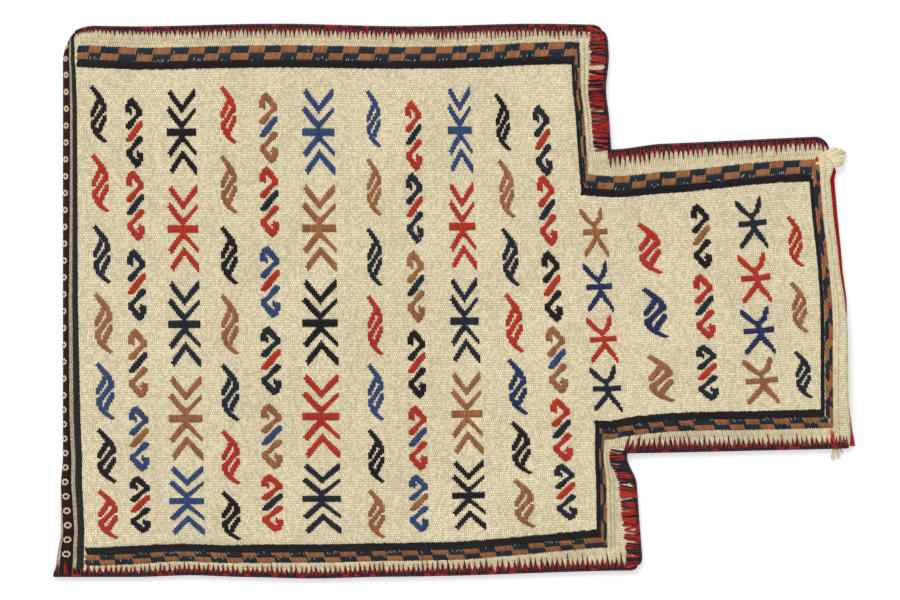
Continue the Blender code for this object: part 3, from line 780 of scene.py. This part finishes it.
def cross_border(pile, low, high, place, width, kind, checks):
    """A narrow column of check or black that runs across the bag, by a shoulder or the mouth."""
    places = middles(low, high, CROSS_PITCH)
    strands = max(round(width / CROSS_STRAND), 1)
    half = (high - low) / len(places) / 2 + 0.0005
    for v in places:
        for k in range(strands):
            middle = v + 0.0018 * (k % 2)
            counted = abs(middle) if checks[0][0] > 0 else middle
            key = kind if kind == "K" else check_key(counted, kind, checks)
            shift = width * ((k + 0.5) / strands - 0.5)
            jitter = RANDOM.uniform(-0.00015, 0.00015)
            ends = (max(middle - half, low - 0.0004), min(middle + half, high + 0.0004))
            start, end = ((place(end) + shift + jitter, end) for end in ends)
            stitch(pile, start, end, key, wide=width / strands * 0.6)


# Distances along the bag of the border lines by the mouth, across the neck
MOUTH_LINE = (
    (-0.0863, 0.5256), (-0.0758, 0.5263), (-0.0408, 0.5288), (-0.0268, 0.5299), (-0.0058, 0.5309),
    (0.0222, 0.5311), (0.0327, 0.5307), (0.0502, 0.5298), (0.078, 0.5297),
)
# The mouth's columns: kind, ends across the neck, shift and lean from its line, table of checks
MOUTH_COLUMNS = (
    ("K", -0.0862, 0.0796, 0.0, 0.0, 1),
    (1, -0.089, 0.0918, 0.0029, 0.005, 1),
    (0, -0.0933, 0.089, 0.0056, 0.006, 0),
)
MOUTH_COLUMN_WIDTH = 0.0026
RED_TICKS = (0.0929, 0.0757, 0.0543, 0.0329, 0.0115, -0.0099, -0.0313, -0.0527, -0.0741)


def mouth_line(shift, lean=0.0):
    return lambda v: between(MOUTH_LINE, v) + shift - lean * v


def shoulder_shift(v):
    """How far the columns by a shoulder stand from a line beside it."""
    return 0.0006 if v > 0 else -0.0007 - 0.06 * (-v - 0.09)


def shoulder_place(inset):
    return lambda v: BODY_LENGTH - inset + shoulder_shift(v)


def mouth_border(wools):
    pile = Pile("mouth_border")
    for kind, low, high, shift, lean, table in MOUTH_COLUMNS:
        cross_border(pile, low, high, mouth_line(shift, lean), MOUTH_COLUMN_WIDTH, kind,
                     MOUTH_CHECKS[table])
    for v in RED_TICKS:
        u = mouth_line(shift, lean)(v)
        stitch(pile, (u, v - 0.0019), (u + 0.0003, v + 0.0019), "R", wide=0.001, lift=0.0004)
    return pile.build(wools)


def all_borders(wools):
    made = []
    for half, (word, sign, slant) in enumerate((("upper", 1, 0.3), ("lower", -1, 0.45))):
        side, shoulder, neck = zip(CHECK_OUTER[half], CHECK_INNER[half], LINE_INNER[half])
        cell = (shoulder[1] - shoulder[0]) / 2
        turn = shoulder_shift(sign * (HALF_BODY - 0.022))
        ends = [BODY_LENGTH - shoulder[1] + cell * k + turn for k in range(3)]
        pile = Pile(f"{word}_side_border")
        seam_border(pile, sign, side, (0.0142,) * 3, ends, HALF_BODY, SIDE_CHECKS[half],
                    SIDE_STRAY[half], slant)
        made.append(pile.build(wools))
        turn = shoulder_shift(sign * (HALF_NECK - 0.02))
        insets = (shoulder[2], shoulder[1], shoulder[1] - cell)
        starts = [BODY_LENGTH - inset + turn for inset in insets]
        pile = Pile(f"{word}_neck_border")
        seam_border(pile, sign, neck, starts, NECK_ENDS[half], HALF_NECK, NECK_CHECKS[half],
                    NECK_STRAY[half], slant)
        in_side, in_neck = SIDE_STRAY[half][-1][1], NECK_STRAY[half][0][1]
        columns = (
            ("K", (shoulder[1] + shoulder[2]) / 2, shoulder[2] - shoulder[1], neck[2], side[1]),
            (1, shoulder[1] - cell / 2, cell, neck[1], (side[0] + side[1]) / 2),
            (0, shoulder[0] + cell / 2, cell, (neck[0] + neck[1]) / 2, side[0]),
        )
        for kind, inset, width, near, far in columns:
            edges = (sign * (HALF_NECK - near - in_neck), sign * (HALF_BODY - far - in_side))
            cross_border(pile, min(edges), max(edges), shoulder_place(inset), width, kind,
                         SHOULDER_CHECKS[half])
        made.append(pile.build(wools))
    return made + [mouth_border(wools)]


# Cream strokes beside the borders: half, part (0 side, 2 neck), ends, slant, and tiers of insets
CREAM_RUNS = (
    (0, 0, 0.015, BODY_LENGTH - 0.016, 0.08,
     ((0.003, 0.0088), (0.008, 0.0116), (0.0108, 0.014))),
    (0, 2, BODY_LENGTH - 0.014, LENGTH - 0.003, 0.08,
     ((0.0036, 0.0092), (0.0086, 0.014), (0.0132, 0.0177))),
    (1, 0, 0.0165, BODY_LENGTH - 0.012, 0.45, ((0.0014, 0.0058), (0.005, 0.0095))),
    (1, 2, BODY_LENGTH - 0.012, LENGTH - 0.014, 0.3, ((0.002, 0.0066), (0.0058, 0.0104))),
)


def cream_strokes(wools):
    """The cream wefts between the checks and the overcasting, in long strokes."""
    pile = Pile("edge_strokes")
    for lower, part, start, end, slant, tiers in CREAM_RUNS:
        sign, half = (-1 if lower else 1), (HALF_NECK if part else HALF_BODY)
        outer = CHECK_OUTER[lower][part]
        stray = (NECK_STRAY if part else SIDE_STRAY)[lower]
        for u in middles(start, end, STROKE_PITCH):
            stretch = (outer + between(stray, u)) / outer
            for tier, (far, near) in enumerate(tiers):
                shift = 0.5 * (tier % 2) * STROKE_PITCH
                rough = RANDOM.uniform(-0.0006, 0.0004)
                a, b = (sign * (half - inset * stretch + rough) for inset in (near, far))
                lean = slant * (near - far)
                stitch(pile, (u + shift - lean / 2, a), (u + shift + lean / 2, b), "cream",
                       wide=0.0007, high=0.00042)
    return [pile.build(wools)]


def twined_cord(pile, place, low, high, width, slant):
    """One strand of a two-ply cream cord that runs across the bag, as slanting plies."""
    for v in middles(low, high, CORD_PITCH):
        u = place(v)
        stitch(pile, (u - width / 2, v - slant), (u + width / 2, v + slant), "cream", wide=0.00095,
               high=0.0007)


def all_cords(wools):
    pile = Pile("twined_cords")
    for sign, insets in zip((1, -1), CHECK_OUTER):
        low, high = sorted((sign * HALF_NECK, sign * (HALF_BODY - insets[0] + 0.001)))
        for inset, slant in ((0.0124, 0.0012), (0.0151, -0.0012)):
            twined_cord(pile, shoulder_place(inset), low, high, 0.0027, slant)
    for shift, slant in ((0.0082, 0.0012), (0.0103, -0.0012)):
        twined_cord(pile, mouth_line(shift), 0.01 - HALF_NECK, HALF_NECK - 0.01, 0.0022, slant)
    return [pile.build(wools)]


def seam_stitch(pile, base, inner, key, wide, reach, lean=(0.0, 0.0), blunt=False):
    """A stitch from a tooth's tip on top, over the edge of both panels, to its tip below."""
    dx, dy = heading(inner, base)
    top, low = SEAM_TOP + 0.0009, 0.0006
    path = (
        (-reach, SEAM_TOP + 0.0002), (-reach + 0.0012, top - 0.0001), (-reach * 0.55, top),
        (-0.0006, top - 0.0002), (0.0009, SEAM_TOP * 0.55), (-0.0004, low + 0.0001),
        (-reach * 0.5, low), (-reach * 0.9, 0.0009),
    )
    spine = []
    for offset, z in path:
        share = min(max(-offset / reach, 0.0), 1.0)
        pull = share if z > SEAM_TOP * 0.5 else -share
        x, y = base[0] + dx * offset + lean[0] * pull, base[1] + dy * offset + lean[1] * pull
        spine.append((x, y, z))
    tapers = (0.9, 0.95, 1.0, 1.0, 0.9, 0.6) if blunt else (0.45, 0.85, 1.0, 1.0, 0.9, 0.6)
    pile.strand(spine, (dy, -dx), wide, 0.00055, key, tapers=tapers)


# Yarns of the five stitches of a tooth and of the three short ones laid over its base
TOOTH_YARNS = (
    ("dark", "crimson", "N", "R", "dark", "N", "crimson", "dark"),
    ("N", "dark", "crimson", "crimson", "N", "dark", "dark", "crimson"),
    ("dark", "R", "dark", "N", "crimson", "crimson", "N", "dark"),
)


def run_overcast(name, seam, reach, tooth, wide, lean, scatter):
    """Overcasting along a seam: narrow teeth, each of five stitches that draw together at its tip.

    seam gives a place on the edge and one inside it for each length along it. scatter is
    how far the stitches stray sideways; strayed ones are all long, and worn away here and there."""
    pile = Pile(name)
    edge, total = seam
    teeth = round(total / tooth)
    for n in range(teeth):
        centre = total * (n + 0.5) / teeth + RANDOM.uniform(-0.12, 0.12) * tooth
        tall = RANDOM.uniform(0.8, 1.12)
        for k in range(8):
            t = (k - 2) * 0.4 if k < 5 else RANDOM.uniform(-0.9, 0.9)
            base = min(max(centre + t * tooth * 0.55, 0.0), total)
            draw = -t * tooth * 0.3 + lean * tall
            share = tall * (1.0 - 0.62 * abs(t)) * RANDOM.uniform(0.86, 1.1)
            key = TOOTH_YARNS[n % 3][k]
            if k > 4:
                share = RANDOM.uniform(0.28, 0.46)
                draw = RANDOM.uniform(-0.0009, 0.0007)
            if scatter > 0.0:
                share = RANDOM.uniform(0.9, 1.04)
                draw = RANDOM.uniform(-scatter, scatter)
                key = RANDOM.choice(("crimson", "R", "crimson", "dark", "N"))
                wave = math.sin(base * 420) + math.sin(base * 173 + 1.0)
                if wave < -1.62:
                    share = RANDOM.uniform(0.16, 0.3)
            outside, inside = edge(base)
            tx, ty = heading(outside, edge(base + 0.0005)[0])
            draw += RANDOM.uniform(-0.0002, 0.0002)
            seam_stitch(pile, outside, inside, key, wide * RANDOM.uniform(0.85, 1.15),
                        max(share * between(reach, base), 0.0015), (tx * draw, ty * draw),
                        scatter > 0.0)
    edge_strands(pile, edge, total)
    return pile


def edge_strands(pile, edge, total):
    """Dark strands that lie along the very edge over the stitches, from one to the next."""
    count = round(total / STRAND_SPAN)
    for n in range(count):
        key = "crimson" if RANDOM.random() < 0.14 else "dark"
        for out, z in ((0.0001, SEAM_TOP + 0.001), (0.0012, SEAM_TOP * 0.55)):
            spine = []
            for share in (-0.08, 0.0, 0.33, 0.67, 1.0, 1.08):
                outside, inside = edge(min(max((n + share) * total / count, 0.0), total))
                dx, dy = heading(inside, outside)
                spine.append((outside[0] + dx * out, outside[1] + dy * out, z))
            pile.yarn(spine, 0.00055, 0.0005, key)


def edge_along(half, start, end):
    """Places down a seam that runs along the bag, and its length. A lower seam has half below 0."""
    inner = half - math.copysign(0.009, half)
    return (lambda s: (plan(start + s, half), plan(start + s, inner))), end - start


def edge_across(sign, low, high):
    """Places along a shoulder, from the neck outwards, and its length."""
    def edge(s):
        v = sign * (low + s)
        return plan(BODY_LENGTH, v), plan(BODY_LENGTH - 0.009, v)
    return edge, high - low


# How far the overcasting reaches over the cloth, by distance along each seam
STITCH_REACH = {
    "upper_side": ((0.0, 0.0036), (0.05, 0.0062), (0.09, 0.0078), (0.38, 0.0094)),
    "upper_shoulder": ((0.0, 0.0116), (0.08, 0.0118)),
    "upper_neck": ((0.0, 0.0122), (0.03, 0.0118), (0.06, 0.0098), (0.16, 0.0092)),
    "lower_side": ((0.0, 0.0088), (0.05, 0.0078), (0.2, 0.0082), (0.32, 0.0104)),
    "lower_shoulder": ((0.0, 0.0118), (0.04, 0.0112), (0.08, 0.0096)),
    "lower_neck": ((0.0, 0.012), (0.03, 0.0114), (0.06, 0.0096), (0.16, 0.0088)),
}
# Long red stitches by two corners: distance along the seam, reach, and pull across the bag
RED_STITCHES = {
    "upper_shoulder": ((0.071, 0.013, -0.012), (0.06, 0.013, 0.011)),
    "lower_neck": ((0.1414, 0.0128, 0.0), (0.1426, 0.0118, 0.0), (0.1476, 0.0088, 0.0),
                   (0.1484, 0.008, 0.0)),
}


def all_overcasting(wools):
    made = []
    halves = (("upper", 1, 0.007, 0.003, -0.0005), ("lower", -1, 0.001, 0.0034, -0.0007))
    for word, sign, begins, side_tooth, lean in halves:
        side = edge_along(sign * HALF_BODY, begins, BODY_LENGTH - 0.0005)
        shoulder = edge_across(sign, HALF_NECK + 0.0005, HALF_BODY - 0.0005)
        neck = edge_along(sign * HALF_NECK, BODY_LENGTH - 0.001, LENGTH - 0.0005)
        runs = (
            ("side", side, side_tooth, 0.00052, lean, 0.0),
            ("shoulder", shoulder, 0.0058, 0.00078, 0.001, 0.0026),
            ("neck", neck, 0.0034, 0.00056, lean, 0.0),
        )
        for part, seam, tooth, wide, tilt, scatter in runs:
            place = f"{word}_{part}"
            pile = run_overcast(f"{place}_stitches", seam, STITCH_REACH[place], tooth, wide, tilt,
                                scatter)
            for distance, tall, pull in RED_STITCHES.get(place, ()):
                outside, inside = seam[0](distance)
                seam_stitch(pile, outside, inside, "R", 0.0008, tall, (0.0, pull))
            obj = pile.build(wools, "overcast_wool")
            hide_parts(f"{place}_overcast")
            made.append(obj)
    return made


def fold_bands(wools):
    """Wrapped wefts over the fold: a dark stripe and cream rings on the maroon band."""
    pile = Pile("fold_stripe")
    for number, across in across_lines():
        if number % 2 and abs(across) <= HALF_BODY - 0.004:
            low, high = stripe_edge(5, across), stripe_edge(6, across)
            rough = RANDOM.uniform(-0.0003, 0.0005)
            stitch(pile, (low - 0.0002, across), (high + rough, across), "stripe", wide=0.00092,
                   station=True)
    ring_pile = Pile("fold_rings")
    across = HALF_BODY - 0.01
    while across > -HALF_BODY + 0.008:
        centre = (stripe_edge(2, across) + stripe_edge(3, across)) / 2 + 0.0002
        for bead in range(RING_BEADS):
            angle = 2 * math.pi * (bead + 0.5) / RING_BEADS
            c, s = math.cos(angle), math.sin(angle)
            start = (centre + 0.0016 * c + 0.0007 * s, across + 0.0017 * s - 0.0007 * c)
            end = (centre + 0.0016 * c - 0.0007 * s, across + 0.0017 * s + 0.0007 * c)
            stitch(ring_pile, start, end, "cream", wide=0.00082, high=0.0005, station=True)
        across -= 0.0118 if across > -0.06 else 0.0101
    return [pile.build(wools), ring_pile.build(wools)]


# Tips of the loose yarn at the upper mouth corner, from the top strand to the lowest: x, then y
FAN_TIPS = (
    ((0.0, 0.2682), (0.3, 0.2725), (0.55, 0.2762), (0.8, 0.2742), (1.0, 0.272)),
    ((0.0, 0.1078), (0.3, 0.1062), (0.55, 0.1038), (0.8, 0.099), (1.0, 0.0945)),
)


# A loose white thread, a dark hair and two specks: colour, half width, and places on the front
THREADS = (
    ("white", 0.00028, ((0.2446, 0.0504), (0.25, 0.0455), (0.256, 0.035), (0.2625, 0.027),
                        (0.266, 0.0217))),
    ("dark", 0.00022, ((0.428, -0.0903), (0.43, -0.095), (0.4312, -0.1005))),
    ("R", 0.0005, ((0.319, 0.0392), (0.3202, 0.04), (0.3212, 0.0396))),
    ("maroon", 0.0003, ((0.5145, 0.05), (0.5152, 0.0512), (0.516, 0.052))),
)
THREAD_TIP = 0.0003


def loose_threads(wools):
    pile = Pile("loose_threads")
    for key, wide, points in THREADS:
        spine = [(*plan(u, v), front_outer(u, v) + 0.0004) for u, v in points]
        dx, dy = heading(spine[0], spine[-1])
        for end, sign in ((0, -1), (-1, 1)):
            x, y, z = spine[end]
            tip = (x + sign * dx * THREAD_TIP, y + sign * dy * THREAD_TIP, z)
            spine = [tip] + spine if end == 0 else spine + [tip]
        pile.strand(spine, (dy, -dx), wide, wide, key)
    return [pile.build(wools)]


def frayed_fan(wools):
    """The fan of loose yarn at the upper mouth corner."""
    pile = Pile("frayed_fan")
    for n in range(FAN_YARNS):
        share = n / (FAN_YARNS - 1)
        u0, v0 = min(LENGTH - 0.0075 + 0.008 * share, LENGTH), HALF_NECK - 0.01 - 0.0085 * share
        x0, y0 = plan(u0, v0)
        x1, y1 = (between(table, share) + RANDOM.uniform(-0.0006, 0.0006) for table in FAN_TIPS)
        dx, dy = heading((x0, y0), (x1, y1))
        high, low = front_outer(u0, v0) + 0.0004, 0.0042 + 0.0009 * (n % 2)
        spine = []
        for t in (0.0, 0.1, 0.35, 0.65, 0.92, 1.0):
            sway = 0.0005 * math.sin(3 * t + n)
            spine.append((x0 + (x1 - x0) * t - dy * sway, y0 + (y1 - y0) * t + dx * sway,
                          high + (low - high) * t + 0.0006 * math.sin(math.pi * t)))
        pile.strand(spine, (dy, -dx), 0.00105, 0.0008, "cream")
    obj = pile.build(wools, "sewing_yarn")
    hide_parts("upper_mouth_tuft")
    return obj


def frayed_wisp(wools):
    """The few yarn ends below the lower neck seam, the last ones short and turned."""
    pile = Pile("frayed_wisp")
    for n in range(WISP_YARNS):
        x0, y0 = plan(LENGTH - 0.015 + 0.0008 * n, -HALF_NECK)
        y0 -= 0.0012
        angle = math.radians(-90 + RANDOM.uniform(-12, 16) + (30 if n > 4 else 0))
        long = (0.0045 if n > 4 else 0.0085) * RANDOM.uniform(0.8, 1.1)
        z = 0.0034 + 0.0008 * (n % 3)
        spine = [(x0 + long * t * math.cos(angle), y0 + long * t * math.sin(angle), z - 0.0012 * t)
                 for t in (0.0, 0.15, 0.5, 0.85, 1.0)]
        pile.yarn(spine, 0.00062, 0.0005, "cream")
    obj = pile.build(wools, "sewing_yarn")
    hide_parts("lower_mouth_tuft")
    return obj


def screen(colour):
    """Linear values of a colour given as it looks on a screen."""
    return (*[((value + 0.055) / 1.055) ** 2.4 for value in colour], 1.0)


def put(tree, sockets, values):
    """Each socket takes its value, or a link where the value is another node's output."""
    for socket, value in zip(sockets, values):
        if isinstance(value, bpy.types.NodeSocket):
            tree.links.new(value, socket)
        else:
            socket.default_value = value


def maths(tree, operation, *values):
    node = tree.nodes.new("ShaderNodeMath")
    node.operation = operation
    put(tree, node.inputs, values)
    return node.outputs[0]


def product(tree, first, *others):
    for value in others:
        first = maths(tree, "MULTIPLY", first, value)
    return first


def varied(tree, value, amount, least):
    """Light that rises by this amount from its least as the value goes from 0 to 1."""
    return maths(tree, "MULTIPLY_ADD", value, amount, least)


def mixed(tree, share, first, second):
    """A colour between two colours."""
    node = tree.nodes.new("ShaderNodeMix")
    node.data_type = "RGBA"
    put(tree, (node.inputs[0], node.inputs[6], node.inputs[7]), (share, first, second))
    return node.outputs[2]


def vector(tree, *values):
    node = tree.nodes.new("ShaderNodeCombineXYZ")
    put(tree, node.inputs, values)
    return node.outputs[0]


def noise(tree, place, scale, detail=2.0):
    node = tree.nodes.new("ShaderNodeTexNoise")
    put(tree, [node.inputs[name] for name in ("Vector", "Scale", "Detail")], (place, scale, detail))
    return node.outputs["Fac"]


def chance(tree, dimensions, socket, value):
    """A value between 0 and 1 drawn for each value given."""
    node = tree.nodes.new("ShaderNodeTexWhiteNoise")
    node.noise_dimensions = dimensions
    tree.links.new(value, node.inputs[socket])
    return node.outputs["Value"]


def gap_depth(tree, place, depth):
    """Nothing in the middle of each unit of the place, rising to this depth at its ends."""
    off_centre = maths(tree, "ABSOLUTE", maths(tree, "SUBTRACT", maths(tree, "FRACT", place), 0.5))
    return product(tree, maths(tree, "POWER", product(tree, off_centre, 2.0), 2.5), depth)


def new_material(name):
    material = bpy.data.materials.new(name)
    material.use_nodes = True
    tree = material.node_tree
    shader = tree.nodes["Principled BSDF"]
    for name, value in (("Roughness", 0.92), ("Specular IOR Level", 0.18), ("Sheen Weight", 0.12),
                        ("Sheen Roughness", 0.5)):
        shader.inputs[name].default_value = value
    return material, tree, shader


def finish_material(tree, shader, colour, light, height, strength, distance, invert=False):
    """The base colour as a colour times an amount of light, and a bump from the height."""
    scale = tree.nodes.new("ShaderNodeVectorMath")
    scale.operation = "SCALE"
    put(tree, (scale.inputs[0], scale.inputs["Scale"]), (colour, light))
    bumps = tree.nodes.new("ShaderNodeBump")
    bumps.invert = invert
    put(tree, [bumps.inputs[name] for name in ("Strength", "Distance", "Height")],
        (strength, distance, height))
    put(tree, (shader.inputs["Base Color"], shader.inputs["Normal"]),
        (scale.outputs[0], bumps.outputs[0]))


def yarn_material(name, colour, contrast):
    """Wool yarn: a tint for each strand, and fibre noise in colour and height."""
    material, tree, shader = new_material(name)
    place = tree.nodes.new("ShaderNodeTexCoord").outputs["Object"]
    tint = tree.nodes.new("ShaderNodeAttribute")
    tint.attribute_name = "tint"
    fibre = noise(tree, place, 900.0)
    light = product(
        tree,
        varied(tree, tint.outputs["Fac"], contrast, 1.0 - contrast / 2),
        varied(tree, fibre, contrast * 1.2, 1.0 - contrast * 0.6),
        varied(tree, noise(tree, place, 45.0), 0.3, 0.85),
    )
    finish_material(tree, shader, screen(colour)[:3], light, fibre, 0.35, 0.0003)
    return material


def ground_material(name, colour, gap_shade_colour):
    """Plain weave: rows of beads, half a bead apart from row to row, with painted shade that darkens
    the gaps.
    """
    material, tree, shader = new_material(name)
    weave = tree.nodes.new("ShaderNodeUVMap")
    weave.uv_map = "weave"
    parts = tree.nodes.new("ShaderNodeSeparateXYZ")
    tree.links.new(weave.outputs[0], parts.inputs[0])
    along, across = parts.outputs[0], parts.outputs[1]
    row = maths(tree, "FLOOR", across)
    odd = product(tree, maths(tree, "MODULO", row, 2.0), 0.5)
    waver = product(tree, chance(tree, "1D", "W", row), 0.35)
    shifted = maths(tree, "ADD", maths(tree, "ADD", along, odd), waver)
    bead = vector(tree, maths(tree, "FLOOR", shifted), row)
    # Masks of the gaps between rows and between beads, where the painted shade goes; the bead mask
    # also gives the bump
    row_gap_shade, bead_gap = gap_depth(tree, across, 0.46), gap_depth(tree, shifted, 0.78)
    gap_shade = maths(tree, "MINIMUM", maths(tree, "ADD", row_gap_shade, bead_gap), 1.0)
    place = tree.nodes.new("ShaderNodeTexCoord").outputs["Object"]
    streaks = noise(tree, vector(tree, product(tree, along, 0.16)), 1.0, 3.0)
    light = product(
        tree,
        # Each bead takes its own brightness at random: tone that differs from bead to bead, with the
        # brightest beads as painted highlights
        varied(tree, chance(tree, "2D", "Vector", bead), 0.38, 0.88),
        varied(tree, noise(tree, place, 22.0), 0.2, 0.9),
        varied(tree, noise(tree, place, 380.0), 0.24, 0.88),
        varied(tree, streaks, 0.16, 0.92),
    )
    # Painted shade: the colour is darkened towards the gap colour in the gaps between beads and rows
    base = mixed(tree, gap_shade, screen(colour), screen(gap_shade_colour))
    finish_material(tree, shader, base, light, bead_gap, 0.5, 0.0004, invert=True)
    return material


def all_wools():
    wools = {}
    for key, colour in COLOURS.items():
        if key in GAP_SHADE_COLOURS:
            wools[key] = ground_material(f"wool_{key}", colour, GAP_SHADE_COLOURS[key])
        else:
            wools[key] = yarn_material(f"wool_{key}", colour, 0.22 if max(colour) > 0.7 else 0.4)
    return wools


def make_floor():
    """A white floor that takes the bag's shadow and is seen as bright as its surroundings."""
    bpy.ops.mesh.primitive_plane_add(size=8.0, location=(0.0, 0.0, 0.0))
    floor = bpy.context.object
    floor.name = "floor"
    material = bpy.data.materials.new("floor_white")
    material.use_nodes = True
    tree = material.node_tree
    tree.nodes.clear()
    kinds = ("OutputMaterial", "BsdfDiffuse", "Emission", "LightPath", "AddShader")
    out, matt, glow, rays, total = (tree.nodes.new(f"ShaderNode{kind}") for kind in kinds)
    seen = rays.outputs["Is Camera Ray"]
    for word in ("Is Glossy Ray", "Is Transmission Ray"):
        seen = maths(tree, "MAXIMUM", seen, rays.outputs[word])
    put(tree, (matt.inputs["Color"], glow.inputs["Strength"]),
        ((0.78, 0.78, 0.78, 1.0), product(tree, seen, 0.42)))
    put(tree, (*total.inputs, out.inputs["Surface"]),
        (matt.outputs[0], glow.outputs[0], total.outputs[0]))
    floor.data.materials.append(material)


def make_light():
    world = bpy.data.worlds.new("studio")
    bpy.context.scene.world = world
    world.use_nodes = True
    back = world.node_tree.nodes["Background"]
    back.inputs["Color"].default_value = (1.0, 1.0, 1.0, 1.0)
    back.inputs["Strength"].default_value = 0.62
    lamp = bpy.data.lights.new("key", "SUN")
    lamp.energy = 1.35
    lamp.angle = math.radians(25)
    key = bpy.data.objects.new("key", lamp)
    bpy.context.scene.collection.objects.link(key)
    key.rotation_euler = (math.radians(-34), math.radians(-22), 0.0)


def make_camera():
    camera = bpy.data.cameras.new("camera")
    camera.lens, camera.sensor_width = LENS, SENSOR
    camera.clip_start, camera.clip_end = 0.05, 20.0
    obj = bpy.data.objects.new("camera", camera)
    bpy.context.scene.collection.objects.link(obj)
    x = (FRAME_WIDTH / 2 - LEFT_PIXEL) * PIXEL - LENGTH / 2
    y = (MIDDLE_PIXEL - FRAME_HEIGHT / 2) * PIXEL
    obj.location = (x, y, FRAME_WIDTH * PIXEL * LENS / SENSOR + FOCUS_HEIGHT)
    bpy.context.scene.camera = obj


def main():
    bpy.context.scene.view_settings.view_transform = "Standard"
    make_camera()
    make_light()
    make_floor()
    wools = all_wools()
    sheet = make_sheet(wools)
    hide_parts("woven_cloth")
    on_cloth = all_figures(wools) + all_borders(wools) + cream_strokes(wools)
    on_cloth += all_cords(wools) + fold_bands(wools) + loose_threads(wools)
    on_cloth += all_overcasting(wools) + [frayed_fan(wools), frayed_wisp(wools)]


main()
